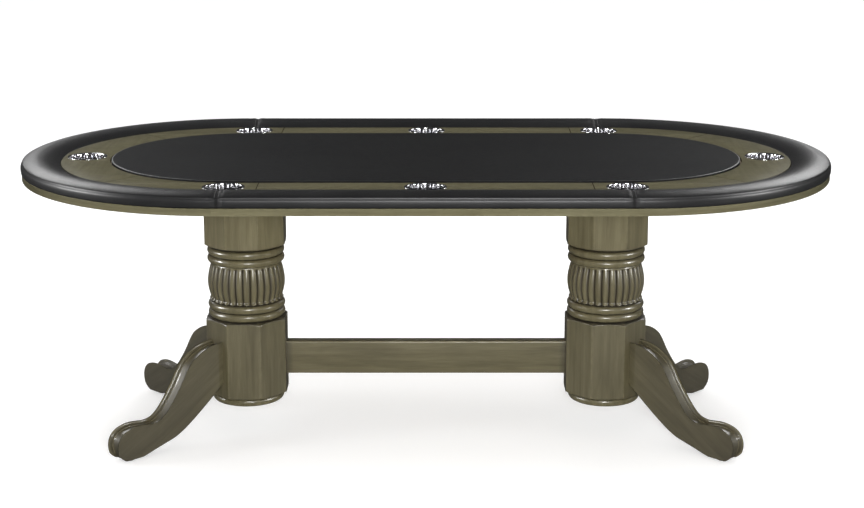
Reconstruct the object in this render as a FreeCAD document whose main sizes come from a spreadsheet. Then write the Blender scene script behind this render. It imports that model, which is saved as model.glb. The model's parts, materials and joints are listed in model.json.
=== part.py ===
import FreeCAD, Part
import math
import os
import Sketcher

# Poker table with a padded rail, a wooden racetrack, a padded playing surface,
# eight drop-in cup holders and two turned pedestals with scrolled legs.
# Millimetres. Origin on the floor under the middle, +X along the table, +Z up.

Vector = FreeCAD.Vector
UP = Vector(0, 0, 1)

# Driving dimensions: alias, value, what it is.
SIZES = [
    ("end_centre", 508, "middle of the table to the centre of each rounded end"),
    ("top_radius", 558.8, "outer radius of the padded rail at the ends, half the width"),
    ("top_height", 762, "floor to the crown of the rail"),
    ("board_thickness", 19, "structural board under the whole top"),
    ("board_top", 726, "floor to the upper face of the board"),
    ("lip_inset", 2.5, "the board's edge lies this far inside the rail"),
    ("lip_width", 25, "solid lipping round the board"),
    ("lip_round", 2, "rounding of the lipping's outer edges"),
    ("rail_width", 103, "width of the padded rail"),
    ("rail_wall", 12, "padding beside the rail's core"),
    ("rail_core_height", 18, "plywood core inside the rail"),
    ("rail_side", 21, "height of the rail's outer side below its shoulder"),
    ("rail_shoulder", 31, "height at which the crown starts"),
    ("crown_inset", 12, "outer side to the start of the crown"),
    ("crown_half", 38, "half the width of the crown"),
    ("crown_rise", 5, "rise of the crown over its two ends"),
    ("side_bulge_radius", 60, "roundness of the outer side"),
    ("side_inset", 0.9, "how far the side's two ends lie inside its bulge"),
    ("shoulder_radius", 17, "roundness of the outer shoulder"),
    ("inner_fall_radius", 24, "roundness of the fall to the racetrack"),
    ("rail_seam", 495, "middle of the table to each cross seam of the rail"),
    ("track_thickness", 20, "racetrack thickness"),
    ("track_joint", 413, "middle of the table to the butt joints of the racetrack"),
    ("track_joint_angle", 50, "direction of the end joints, from the end's centre"),
    ("field_centre", 489, "middle of the table to the centre of the playing surface's ends"),
    ("field_radius", 346, "radius of the playing surface's ends"),
    ("field_gap", 0.6, "gap between playing surface and racetrack"),
    ("field_board", 15, "board under the playing surface"),
    ("field_pad", 9, "padding of the playing surface"),
    ("field_round", 5, "rounded edge of the padding"),
    ("cup_side", 402, "middle of the table to the cups along the sides"),
    ("cup_corner", 495, "middle of the table to the cups near the corners, lengthwise"),
    ("cup_end", 901, "middle of the table to the cups at the ends"),
    ("cup_hole", 47, "radius of the holes for the cups"),
    ("cup_flange", 52.5, "outer radius of a cup's flange"),
    ("cup_flange_thickness", 1.6, "thickness of the flange"),
    ("cup_radius", 46, "outer radius of a cup's wall"),
    ("cup_wall", 1, "thickness of a cup's wall"),
    ("cup_depth", 62, "underside of the flange to the bottom of the cup"),
    ("cup_corner_radius", 7, "rounding between wall and bottom"),
    ("cup_lip_round", 2, "rounding from the flange into the cup"),
    ("pedestal_x", 485, "middle of the table to each pedestal"),
    ("block_flat", 106, "half the distance across the flats of the octagonal blocks"),
    ("block_wall", 28, "wall of the hollow octagonal blocks"),
    ("block_ease", 4.6, "height of the turned easing at the ends of the blocks"),
    ("ring_bottom", 78, "floor to the underside of the base ring"),
    ("ring_radius", 96.5, "radius of the base ring"),
    ("ring_round", 6, "rounding of the base ring"),
    ("lower_bottom", 102, "floor to the bottom of the lower block"),
    ("lower_top", 312, "floor to the top of the lower block"),
    ("upper_bottom", 512, "floor to the bottom of the upper block"),
    ("upper_top", 682, "floor to the top of the upper block"),
    ("plate_side", 290, "side of the square mounting plate"),
    ("bead_radius", 11, "radius of the turned beads"),
    ("bead_neck", 92.5, "radius of the turning between the beads"),
    ("bulb_radius", 103.5, "largest radius of the reeded bulb"),
    ("bulb_neck", 94, "radius at the two ends of the bulb"),
    ("bulb_half", 49, "half the height of the bulb"),
    ("bulb_middle", 411, "floor to the middle of the bulb"),
    ("reed_count", 32, "reeds round the bulb"),
    ("reed_depth", 5, "depth of the valleys between the reeds"),
    ("reed_half", 8.4, "half the width of a valley"),
    ("reed_radius", 11, "roundness of a reed's side"),
    ("rod_radius", 6, "radius of the tie rod"),
    ("rod_bore", 7, "radius of its clearance bore"),
    ("nut_flat", 9.5, "half the width of its nuts"),
    ("nut_height", 10, "height of its nuts"),
    ("washer_radius", 18, "radius of its washers"),
    ("washer_thickness", 2.5, "thickness of its washers"),
    ("leg_thickness", 45, "thickness of a leg"),
    ("leg_round", 7, "rounding of a leg's edges"),
    ("foot_height", 6, "floor to the underside of a foot"),
    ("glide_reach", 403, "pedestal's axis to the glide under a foot"),
    ("glide_radius", 14, "radius of a glide"),
    ("stretcher_bottom", 150, "floor to the stretcher's lower edge"),
    ("stretcher_height", 90, "height of the stretcher"),
    ("stretcher_thickness", 36, "thickness of the stretcher"),
    ("stretcher_round", 4, "rounding of the stretcher's edges"),
    ("bolt_radius", 4, "radius of the bolts of legs and stretcher"),
    ("bolt_head", 8, "radius of their heads"),
    ("bolt_head_height", 6, "height of their heads"),
    ("bolt_reach", 50, "length of a bolt in the leg or stretcher"),
    ("bolt_low", 176, "floor to the lower bolts"),
    ("bolt_high", 216, "floor to the upper bolts"),
    ("screw_radius", 2.5, "radius of the wood screws"),
    ("screw_head", 5, "radius of their heads"),
    ("screw_head_height", 3, "height of their heads"),
    ("screw_reach", 12, "length of a screw in the piece that it holds"),
    ("plate_screw_spacing", 120, "pedestal's axis to its plate's screws, each way"),
]

# A leg in its own plane: distance from the pedestal's axis and height.
LEG_UPPER_CURVE = [(106, 248), (170, 235), (218, 194), (273, 115), (310, 83), (345, 77)]
LEG_CREST = [(345, 77), (383, 81.5), (418, 76)]
LEG_TOE = [(418, 76), (437, 62), (440, 44)]
LEG_HEEL = [(440, 44), (435, 24), (423, 6)]
LEG_SOLE = [(423, 6), (390, 6)]
LEG_LOWER_CURVE = [(390, 6), (331, 21), (268, 38), (202, 76), (106, 148)]

document = FreeCAD.newDocument("PokerTable")
sheet = document.addObject("Spreadsheet::Sheet", "Sizes")
for row, (alias, number, meaning) in enumerate(SIZES, start=1):
    sheet.set("A%d" % row, meaning)
    sheet.set("B%d" % row, str(number))
    sheet.setAlias("B%d" % row, alias)
document.recompute()

sub_parts = []


def size(alias):
    """One driving dimension, as a number."""
    return float(sheet.get(alias))


def formula(text):
    """An expression over the sheet's aliases, written with @ before each alias."""
    return text.replace("@", "Sizes.")


def worked_out(text):
    """The value of such an expression."""
    result = sheet.evalExpression(formula(text))
    return float(getattr(result, "Value", result))


def bind(thing, **properties):
    """Binds properties of an object to expressions; x, y and z are its position."""
    for name, text in properties.items():
        path = "Placement.Base." + name if name in ("x", "y", "z") else name
        thing.setExpression(path, formula(text))


def keep(thing, label):
    """Names a finished sub-part, which is written to a file of that name."""
    thing.Label = label
    sub_parts.append(thing)
    return thing


# ---------------------------------------------------------------- sketches


def new_body(name):
    return document.addObject("PartDesign::Body", name)


def new_sketch(body, name, role):
    """A sketch on one of the body's own origin planes."""
    sketch = body.newObject("Sketcher::SketchObject", name)
    plane = [feature for feature in body.Origin.OriginFeatures if feature.Role == role][0]
    sketch.AttachmentSupport = [(plane, "")]
    sketch.MapMode = "FlatFace"
    return sketch


def pin_point(sketch, geometry, point, across, upward):
    """Holds a point of a sketch at two expressions."""
    for kind, text in (("DistanceX", across), ("DistanceY", upward)):
        constraint = Sketcher.Constraint(kind, -1, 1, geometry, point, worked_out(text))
        index = sketch.addConstraint(constraint)
        sketch.setExpression("Constraints[%d]" % index, formula(text))


def arc_between(start, end, radius, turn):
    """A circle's arc from start to end; turn is 1 to the left and -1 to the right."""
    chord = end.sub(start)
    rise = math.sqrt(max(radius ** 2 - chord.Length ** 2 / 4, 0))
    sideways = Vector(-chord.y, chord.x, 0).normalize()
    centre = start.add(end).multiply(0.5).add(sideways.multiply(turn * rise))
    first, last = (start, end) if turn > 0 else (end, start)
    angles = [math.atan2(p.y - centre.y, p.x - centre.x) for p in (first, last)]
    return Part.ArcOfCircle(Part.Circle(centre, UP, radius), angles[0], angles[1])


def closed_outline(sketch, corners, arcs=None, mirrored=False):
    """Draws a closed outline through corners given as pairs of expressions.

    arcs gives, for the edge that starts at a corner, a radius, or a centre for a
    half circle, and the side it turns to. mirrored flips the outline sideways.
    """
    arcs = arcs or {}
    if mirrored:
        corners = [("-(%s)" % across, upward) for across, upward in corners]
    points = [Vector(worked_out(across), worked_out(upward), 0) for across, upward in corners]
    starts, ends = [], []
    for index, start in enumerate(points):
        end = points[(index + 1) % len(points)]
        if index not in arcs:
            geometry = sketch.addGeometry(Part.LineSegment(start, end), False)
            starts.append((geometry, 1))
            ends.append((geometry, 2))
            continue
        kind, text, turn = arcs[index]
        turn = -turn if mirrored else turn
        half_circle = kind == "centre"
        radius = end.sub(start).Length / 2 if half_circle else worked_out(text)
        geometry = sketch.addGeometry(arc_between(start, end, radius, turn), False)
        starts.append((geometry, 1 if turn > 0 else 2))
        ends.append((geometry, 2 if turn > 0 else 1))
        if half_circle:
            rule = Sketcher.Constraint("DistanceX", -1, 1, geometry, 3, worked_out(text))
        else:
            rule = Sketcher.Constraint("Radius", geometry, radius)
        constraint = sketch.addConstraint(rule)
        sketch.setExpression("Constraints[%d]" % constraint, formula(text))
    for index, (geometry, point) in enumerate(starts):
        before, before_point = ends[index - 1]
        sketch.addConstraint(Sketcher.Constraint("Coincident", before, before_point, geometry, point))
        pin_point(sketch, geometry, point, *corners[index])


def circle_in(sketch, across, upward, radius):
    """Adds a circle to a sketch."""
    centre = Vector(worked_out(across), worked_out(upward), 0)
    circle = Part.Circle(centre, UP, worked_out(radius))
    geometry = sketch.addGeometry(circle, False)
    pin_point(sketch, geometry, 3, across, upward)
    rule = Sketcher.Constraint("Radius", geometry, worked_out(radius))
    constraint = sketch.addConstraint(rule)
    sketch.setExpression("Constraints[%d]" % constraint, formula(radius))


def pad(body, name, sketch, length, both_ways=False, backwards=False):
    """Pushes a sketch out into a solid."""
    feature = body.newObject("PartDesign::Pad", name)
    feature.Profile = sketch
    feature.SideType = "Symmetric" if both_ways else "One side"
    feature.Reversed = backwards
    bind(feature, Length=length)
    return feature


def turning(body, name, sketch, angle):
    """Turns a sketch about its upright axis, half the angle to each side."""
    feature = body.newObject("PartDesign::Revolution", name)
    feature.Profile = sketch
    feature.ReferenceAxis = (sketch, ["V_Axis"])
    feature.Angle = angle
    feature.Midplane = True
    return feature


def cut(name, base, tool):
    thing = document.addObject("Part::Cut", name)
    thing.Base = base
    thing.Tool = tool
    return thing


def hidden_shape(name, shape):
    """A tool or a group of fasteners whose shape is worked out in code."""
    thing = document.addObject("Part::Feature", name)
    thing.Shape = shape
    return thing


# ---------------------------------------------------------------- positions

RIGHT_AND_LEFT = (("right", 1), ("left", -1))
FRONT_AND_BACK = (("front", -1), ("back", 1))

CUPS = [("cup_end_%s" % side, "%d * @cup_end" % way, "0 * @cup_side") for side, way in RIGHT_AND_LEFT]
CUPS += [("cup_middle_%s" % face, "0 * @cup_end", "%d * @cup_side" % out) for face, out in FRONT_AND_BACK]
CUPS += [
    ("cup_%s_%s" % (face, side), "%d * @cup_corner" % way, "%d * @cup_side" % out)
    for face, out in FRONT_AND_BACK
    for side, way in RIGHT_AND_LEFT
]


def side_points(spacing, offset):
    """Points along the two straight sides of the table, at an offset from its middle."""
    return [Vector(x, way * offset, 0) for x in (-spacing, 0, spacing) for way in (-1, 1)]


def end_points(angles, radius):
    """Points round the two rounded ends, at a radius from their centres."""
    points = []
    for way in (-1, 1):
        for angle in angles:
            turn = math.radians(angle)
            across = way * (size("end_centre") + radius * math.cos(turn))
            points.append(Vector(across, radius * math.sin(turn), 0))
    return points


RAIL_SCREW_RADIUS = size("top_radius") - size("rail_width") / 2
RAIL_SCREWS = side_points(300, RAIL_SCREW_RADIUS) + end_points((-60, -20, 20, 60), RAIL_SCREW_RADIUS)
PLATE_SCREWS = [
    Vector(way * size("pedestal_x") + x * size("plate_screw_spacing"), y * size("plate_screw_spacing"), 0)
    for way in (-1, 1)
    for x, y in ((-1, -1), (-1, 1), (1, -1), (1, 1))
]


# ---------------------------------------------------------------- table top


def stadium(sketch, centre, radius):
    """A long outline with two straight sides and two half circles."""
    corners = [
        ("-(%s)" % centre, "-(%s)" % radius),
        (centre, "-(%s)" % radius),
        (centre, radius),
        ("-(%s)" % centre, radius),
    ]
    closed_outline(sketch, corners, {1: ("centre", centre, 1), 3: ("centre", "-(%s)" % centre, 1)})


def make_base_board():
    """Structural board with the cup holes and the pilot holes of its screws."""
    body = new_body("BoardBlank")
    sketch = new_sketch(body, "BoardOutline", "XY_Plane")
    stadium(sketch, "@end_centre", "@top_radius - @lip_inset - @lip_width")
    for _, across, along in CUPS:
        circle_in(sketch, across, along, "@cup_hole")
    pad(body, "BoardPad", sketch, "@board_thickness")
    bind(body, z="@board_top - @board_thickness")
    bottom = size("board_top") - size("board_thickness")
    holes = [
        Part.makeCylinder(size("screw_radius"), size("board_thickness"), point.add(UP * bottom))
        for point in RAIL_SCREWS
    ]
    holes += [
        Part.makeCylinder(size("screw_radius"), size("screw_reach"), point.add(UP * bottom))
        for point in PLATE_SCREWS
    ]
    tool = hidden_shape("BoardPilotHoles", Part.makeCompound(holes))
    keep(cut("BaseBoard", body, tool), "base_board")


def ring_of_four(name, label, corners, arcs, bottom, split):
    """Four lengths of one moulding round the table: front, back, right and left.

    corners gives the moulding's section as distance inward from the rail's outer
    side and height; split is where the straight lengths end.
    """
    section = [("@top_radius - (%s)" % inward, upward) for inward, upward in corners]
    for side, way in RIGHT_AND_LEFT:
        body = new_body(name + side.title())
        sketch = new_sketch(body, name + side.title() + "Section", "XZ_Plane")
        closed_outline(sketch, section, arcs, mirrored=False)
        turning(body, name + side.title() + "Turn", sketch, 180)
        if split != "@end_centre":
            for face, out in FRONT_AND_BACK:
                tail = name + side.title() + face.title()
                sketch = new_sketch(body, tail + "Section", "YZ_Plane")
                closed_outline(sketch, section, arcs, mirrored=out < 0)
                pad(body, tail + "Pad", sketch, "@end_centre - (%s)" % split, backwards=True)
        if way < 0:
            body.Placement.Rotation = FreeCAD.Rotation(UP, 180)
        bind(body, x="%d * @end_centre" % way, z=bottom)
        keep(body, "%s_%s" % (label, side))
    for face, out in FRONT_AND_BACK:
        body = new_body(name + face.title())
        sketch = new_sketch(body, name + face.title() + "Section", "YZ_Plane")
        closed_outline(sketch, section, arcs, mirrored=out < 0)
        pad(body, name + face.title() + "Pad", sketch, "2 * (%s)" % split, both_ways=True)
        bind(body, z=bottom)
        keep(body, "%s_%s" % (label, face))


def make_lipping():
    """Solid wood edge round the board, with eased outer edges."""
    inner = "@lip_inset + @lip_width"
    corners = [
        ("@lip_inset + @lip_round", "0 * @lip_round"),
        ("@lip_inset", "@lip_round"),
        ("@lip_inset", "@board_thickness - @lip_round"),
        ("@lip_inset + @lip_round", "@board_thickness"),
        (inner, "@board_thickness"),
        (inner, "0 * @lip_round"),
    ]
    arcs = {0: ("radius", "@lip_round", 1), 2: ("radius", "@lip_round", 1)}
    ring_of_four("Lipping", "lipping", corners, arcs, "@board_top - @board_thickness", "@end_centre")


def make_rail():
    """Plywood core of the rail, and the padding over it."""
    inner = "@rail_width - @rail_wall"
    ground = "0 * @rail_wall"
    core = [
        ("@rail_wall", ground),
        ("@rail_wall", "@rail_core_height"),
        (inner, "@rail_core_height"),
        (inner, ground),
    ]
    ring_of_four("RailCore", "rail_core", core, {}, "@board_top", "@end_centre")
    padding = [
        ("@side_inset", ground),
        ("@side_inset", "@rail_side"),
        ("@crown_inset", "@rail_shoulder"),
        ("@crown_inset + 2 * @crown_half", "@rail_shoulder"),
        ("@rail_width", "@rail_core_height"),
        ("@rail_width", ground),
        (inner, ground),
        (inner, "@rail_core_height"),
        ("@rail_wall", "@rail_core_height"),
        ("@rail_wall", ground),
    ]
    arcs = {
        0: ("radius", "@side_bulge_radius", 1),
        1: ("radius", "@shoulder_radius", 1),
        2: ("radius", "(@crown_half ^ 2 + @crown_rise ^ 2) / (2 * @crown_rise)", 1),
        3: ("radius", "@inner_fall_radius", 1),
    }
    ring_of_four("RailPad", "rail_pad", padding, arcs, "@board_top", "@rail_seam")


# The end joints of the racetrack point at the rounded end's centre, which lies
# further out than the playing surface's own centre.
TRACK_RADIUS = "(@top_radius - @rail_width)"
CENTRE_STEP = "(@end_centre - @field_centre)"
JOINT_COS = "cos(@track_joint_angle * 1deg)"
JOINT_SIN = "sin(@track_joint_angle * 1deg)"
INNER_REACH = "(sqrt(@field_radius ^ 2 - (%s * %s) ^ 2) - %s * %s)" % (
    CENTRE_STEP, JOINT_SIN, CENTRE_STEP, JOINT_COS)
OUTER_JOINT = ("@end_centre + %s * %s" % (TRACK_RADIUS, JOINT_COS), "%s * %s" % (TRACK_RADIUS, JOINT_SIN))
INNER_JOINT = ("@end_centre + %s * %s" % (INNER_REACH, JOINT_COS), "%s * %s" % (INNER_REACH, JOINT_SIN))


def finish_track(body, sketch, label, cup):
    """Cuts the cup hole and gives a racetrack piece its thickness and height."""
    circle_in(sketch, cup[0], cup[1], "@cup_hole")
    pad(body, body.Name + "Pad", sketch, "@track_thickness")
    bind(body, z="@board_top")
    keep(body, label)


def flipped(point, way, out):
    """A point given by expressions, moved to another quarter of the table."""
    return ("%d * (%s)" % (way, point[0]), "%d * (%s)" % (out, point[1]))


def make_racetrack():
    """Eight lengths of wood between the rail and the playing surface."""
    for face, out in FRONT_AND_BACK:
        body = new_body("Track" + face.title())
        sketch = new_sketch(body, "Track" + face.title() + "Outline", "XY_Plane")
        near = "%d * @field_radius" % out
        far = "%d * %s" % (out, TRACK_RADIUS)
        corners = [
            ("-@track_joint", near),
            ("@track_joint", near),
            ("@track_joint", far),
            ("-@track_joint", far),
        ]
        closed_outline(sketch, corners)
        cup = ("0 * @cup_end", "%d * @cup_side" % out)
        finish_track(body, sketch, "racetrack_%s" % face, cup)
    for side, way in RIGHT_AND_LEFT:
        outer_centre = "%d * @end_centre" % way
        inner_centre = "%d * @field_centre" % way
        body = new_body("Track" + side.title())
        sketch = new_sketch(body, "Track" + side.title() + "Outline", "XY_Plane")
        corners = [flipped(point, way, out) for point, out in
                   ((INNER_JOINT, -1), (OUTER_JOINT, -1), (OUTER_JOINT, 1), (INNER_JOINT, 1))]
        arcs = {1: ("radius", TRACK_RADIUS, way), 3: ("radius", "@field_radius", -way)}
        closed_outline(sketch, corners, arcs)
        cup = ("%d * @cup_end" % way, "0 * @cup_side")
        finish_track(body, sketch, "racetrack_%s" % side, cup)
        for face, out in FRONT_AND_BACK:
            name = "Track" + face.title() + side.title()
            body = new_body(name)
            sketch = new_sketch(body, name + "Outline", "XY_Plane")
            corners = [
                flipped(("@track_joint", "@field_radius"), way, out),
                flipped(("@track_joint", TRACK_RADIUS), way, out),
                (outer_centre, "%d * %s" % (out, TRACK_RADIUS)),
                flipped(OUTER_JOINT, way, out),
                flipped(INNER_JOINT, way, out),
                (inner_centre, "%d * @field_radius" % out),
            ]
            turn = -way * out
            arcs = {2: ("radius", TRACK_RADIUS, turn), 4: ("radius", "@field_radius", -turn)}
            closed_outline(sketch, corners, arcs)
            cup = ("%d * @cup_corner" % way, "%d * @cup_side" % out)
            finish_track(body, sketch, "racetrack_%s_%s" % (face, side), cup)


def make_playfield():
    """Board and padding of the playing surface."""
    radius = "@field_radius - @field_gap"
    body = new_body("FieldBoard")
    sketch = new_sketch(body, "FieldBoardOutline", "XY_Plane")
    stadium(sketch, "@field_centre", radius)
    pad(body, "FieldBoardPad", sketch, "@field_board")
    bind(body, z="@board_top")
    keep(body, "playfield_board")
    body = new_body("FieldPad")
    sketch = new_sketch(body, "FieldPadOutline", "XY_Plane")
    stadium(sketch, "@field_centre", radius)
    block = pad(body, "FieldPadPad", sketch, "@field_pad")
    document.recompute()
    top_edges = [
        "Edge%d" % (index + 1)
        for index, edge in enumerate(block.Shape.Edges)
        if min(vertex.Point.z for vertex in edge.Vertexes) > size("field_pad") / 2
    ]
    rounding = body.newObject("PartDesign::Fillet", "FieldPadRounding")
    rounding.Base = (block, top_edges)
    bind(rounding, Radius="@field_round")
    bind(body, z="@board_top + @field_board")
    keep(body, "playfield_pad")


def make_cup(label, across, along):
    """A drop-in cup: flange, wall and bottom turned from one profile."""
    name = label.title().replace("_", "")
    body = new_body(name)
    sketch = new_sketch(body, name + "Section", "XZ_Plane")
    inner = "@cup_radius - @cup_wall"
    edge = "@cup_flange_thickness / 2"
    corners = [
        ("0 * @cup_radius", "-@cup_depth"),
        ("@cup_radius - @cup_corner_radius", "-@cup_depth"),
        ("@cup_radius", "@cup_corner_radius - @cup_depth"),
        ("@cup_radius", "0 * @cup_radius"),
        ("@cup_flange - %s" % edge, "0 * @cup_radius"),
        ("@cup_flange - %s" % edge, "@cup_flange_thickness"),
        (inner + " + @cup_lip_round", "@cup_flange_thickness"),
        (inner, "@cup_flange_thickness - @cup_lip_round"),
        (inner, "@cup_corner_radius - @cup_depth"),
        ("@cup_radius - @cup_corner_radius", "@cup_wall - @cup_depth"),
        ("0 * @cup_radius", "@cup_wall - @cup_depth"),
    ]
    arcs = {
        1: ("radius", "@cup_corner_radius", 1),
        4: ("centre", "@cup_flange - %s" % edge, 1),
        6: ("radius", "@cup_lip_round", 1),
        8: ("radius", "@cup_corner_radius - @cup_wall", -1),
    }
    closed_outline(sketch, corners, arcs)
    turning(body, name + "Turn", sketch, 360)
    bind(body, x=across, y=along, z="@board_top + @track_thickness")
    keep(body, label)


# ---------------------------------------------------------------- pedestals


def block_tube(name, label, bottom, top, way, hole_tool=None):
    """Hollow octagon with a flat to the front, both ends eased on the lathe."""
    corner = "@block_flat / cos(22.5deg)"
    height = "(%s - %s)" % (top, bottom)
    outside = document.addObject("Part::Prism", name + "Outside")
    inside = document.addObject("Part::Prism", name + "Inside")
    for prism in (outside, inside):
        prism.Polygon = 8
        prism.Placement.Rotation = FreeCAD.Rotation(UP, 22.5)
        bind(prism, Height=height)
    bind(outside, Circumradius=corner)
    bind(inside, Circumradius="(@block_flat - @block_wall) / cos(22.5deg)")
    blank = new_body(name + "Blank")
    sketch = new_sketch(blank, name + "BlankSection", "XZ_Plane")
    zero = "0 * @block_ease"
    corners = [
        (zero, zero),
        ("@block_flat", zero),
        (corner, "@block_ease"),
        (corner, "%s - @block_ease" % height),
        ("@block_flat", height),
        (zero, height),
    ]
    closed_outline(sketch, corners)
    turning(blank, name + "BlankTurn", sketch, 360)
    eased = document.addObject("Part::Common", name + "Eased")
    eased.Base = outside
    eased.Tool = blank
    tube = cut(name + "Tube", eased, inside)
    if hole_tool is not None:
        tube = cut(name + "Drilled", tube, hole_tool)
    bind(tube, x="%d * @pedestal_x" % way, z=bottom)
    return keep(tube, label)


def radial_cylinder(radius, near, far, height, angle):
    """A cylinder that lies along a direction out from the pedestal's axis."""
    turn = math.radians(angle)
    outward = Vector(math.cos(turn), math.sin(turn), 0)
    start = Vector(near * outward.x, near * outward.y, height)
    return Part.makeCylinder(radius, far - near, start, outward)


def bolt_shapes(angles, base_height):
    """The bolts of legs and stretcher, heads inside the block, round one axis."""
    inside = size("block_flat") - size("block_wall")
    end = size("block_flat") + size("bolt_reach")
    shapes = []
    for angle in angles:
        for height in (size("bolt_low"), size("bolt_high")):
            level = height - base_height
            head_start = inside - size("bolt_head_height")
            head = radial_cylinder(size("bolt_head"), head_start, inside, level, angle)
            shank = radial_cylinder(size("bolt_radius"), inside, end, level, angle)
            shapes.append(head.fuse(shank))
    return shapes


def bolt_holes(angles, base_height):
    """The drilled holes that those bolts pass through."""
    inside = size("block_flat") - size("block_wall")
    end = size("block_flat") + size("bolt_reach")
    holes = [
        radial_cylinder(size("bolt_radius"), inside - 1, end, height - base_height, angle)
        for angle in angles
        for height in (size("bolt_low"), size("bolt_high"))
    ]
    return Part.makeCompound(holes)


def make_vase(side, way):
    """Turned middle of a pedestal: two beads, a reeded bulb and two more beads."""
    name = "Vase" + side.title()
    body = new_body(name)
    sketch = new_sketch(body, name + "Section", "XZ_Plane")
    base = "@lower_top"
    height = "(@upper_bottom - @lower_top)"
    bead = "2 * @bead_radius"
    low = "(@bulb_middle - @bulb_half - %s)" % base
    high = "(@bulb_middle + @bulb_half - %s)" % base
    corners = [
        ("@rod_bore", "0 * @bead_radius"),
        ("@bead_neck", "0 * @bead_radius"),
        ("@bead_neck", "%s - 2 - 2 * %s" % (low, bead)),
        ("@bead_neck", "%s - 2 - %s" % (low, bead)),
        ("@bead_neck", "%s - 2" % low),
        ("@bulb_neck", low),
        ("@bulb_neck", high),
        ("@bead_neck", "%s + 2" % high),
        ("@bead_neck", "%s + 2 + %s" % (high, bead)),
        ("@bead_neck", "%s + 2 + 2 * %s" % (high, bead)),
        ("@bead_neck", height),
        ("@rod_bore", height),
    ]
    bulge = "(@bulb_radius - @bulb_neck)"
    roundness = "(@bulb_half ^ 2 + %s ^ 2) / (2 * %s)" % (bulge, bulge)
    half_circle = ("centre", "@bead_neck", 1)
    arcs = {2: half_circle, 3: half_circle, 5: ("radius", roundness, 1), 7: half_circle, 8: half_circle}
    closed_outline(sketch, corners, arcs)
    turning(body, name + "Turn", sketch, 360)
    valley = new_sketch(body, name + "Valley", "XY_Plane")
    valley.setExpression("AttachmentOffset.Base.z", formula("@bulb_middle - " + base))
    across = "@bulb_radius + 0.3"
    outside = "@bulb_radius + 4"
    side_corners = [
        ("@bulb_radius - @reed_depth", "0 * @reed_half"),
        (across, "-@reed_half"),
        (outside, "-@reed_half"),
        (outside, "@reed_half"),
        (across, "@reed_half"),
    ]
    reed_side = ("radius", "@reed_radius", -1)
    closed_outline(valley, side_corners, {0: reed_side, 4: reed_side})
    swing = "@bulb_radius - %s" % roundness
    line = Part.LineSegment(Vector(worked_out(swing), -10, 0), Vector(worked_out(swing), 10, 0))
    axis = valley.addGeometry(line, True)
    pin_point(valley, axis, 1, swing, "-10 + 0 * @reed_half")
    pin_point(valley, axis, 2, swing, "10 + 0 * @reed_half")
    groove = body.newObject("PartDesign::Groove", name + "Groove")
    groove.Profile = valley
    groove.ReferenceAxis = (valley, ["Axis0"])
    groove.Midplane = True
    groove.setExpression("Angle", formula("2 * asin(@bulb_half / (%s))" % roundness))
    pattern = body.newObject("PartDesign::PolarPattern", name + "Reeds")
    pattern.Originals = [groove]
    pattern.Axis = (sketch, ["V_Axis"])
    pattern.Angle = 360
    pattern.setExpression("Occurrences", formula("@reed_count"))
    body.Tip = pattern
    bind(body, x="%d * @pedestal_x" % way, z=base)
    keep(body, "vase_%s" % side)


def make_leg(label, way, angle, hole_tool):
    """A scrolled plank with rounded edges, bolted to a diagonal face."""
    name = label.title().replace("_", "")
    body = new_body(name + "Plank")
    sketch = new_sketch(body, name + "Outline", "XZ_Plane")
    curves = []
    for stretch in (LEG_UPPER_CURVE, LEG_CREST, LEG_TOE, LEG_HEEL, LEG_SOLE, LEG_LOWER_CURVE):
        points = [Vector(reach, height, 0) for reach, height in stretch]
        if len(points) == 2:
            curves.append(Part.LineSegment(points[0], points[1]))
        elif len(points) == 3:
            curves.append(Part.Arc(*points))
        else:
            curve = Part.BSplineCurve()
            curve.interpolate(points)
            curves.append(curve)
    top, bottom = LEG_UPPER_CURVE[0], LEG_LOWER_CURVE[-1]
    curves.append(Part.LineSegment(Vector(bottom[0], bottom[1], 0), Vector(top[0], top[1], 0)))
    for curve in curves:
        geometry = sketch.addGeometry(curve, False)
        sketch.addConstraint(Sketcher.Constraint("Block", geometry))
    plank = pad(body, name + "Pad", sketch, "@leg_thickness", both_ways=True)
    document.recompute()
    face_reach = top[0] + 0.01
    long_edges = []
    for index, edge in enumerate(plank.Shape.Edges):
        box = edge.BoundBox
        if box.YLength < 0.01 and box.XMax > face_reach and box.ZMax > LEG_SOLE[0][1] + 0.01:
            long_edges.append("Edge%d" % (index + 1))
    rounding = body.newObject("PartDesign::Fillet", name + "Rounding")
    rounding.Base = (plank, long_edges)
    bind(rounding, Radius="@leg_round")
    drilled = cut(name, body, hole_tool)
    drilled.Placement.Rotation = FreeCAD.Rotation(UP, angle)
    bind(drilled, x="%d * @pedestal_x" % way)
    keep(drilled, label)


def nut(height):
    """A hexagonal nut with its bore, standing on a height."""
    corner = size("nut_flat") / math.cos(math.radians(30))
    points = [
        Vector(corner * math.cos(math.radians(60 * k)), corner * math.sin(math.radians(60 * k)), height)
        for k in range(7)
    ]
    hexagon = Part.Face(Part.makePolygon(points)).extrude(UP * size("nut_height"))
    return hexagon.cut(Part.makeCylinder(size("rod_radius"), size("nut_height"), UP * height))


def washer(height):
    disc = Part.makeCylinder(size("washer_radius"), size("washer_thickness"), UP * height)
    return disc.cut(Part.makeCylinder(size("rod_radius"), size("washer_thickness"), UP * height))


def finish(label, shape, **position):
    """Keeps a group of fasteners, or another piece whose shape is worked out in code."""
    thing = hidden_shape(label.title().replace("_", ""), shape)
    bind(thing, **position)
    return keep(thing, label)


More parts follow.
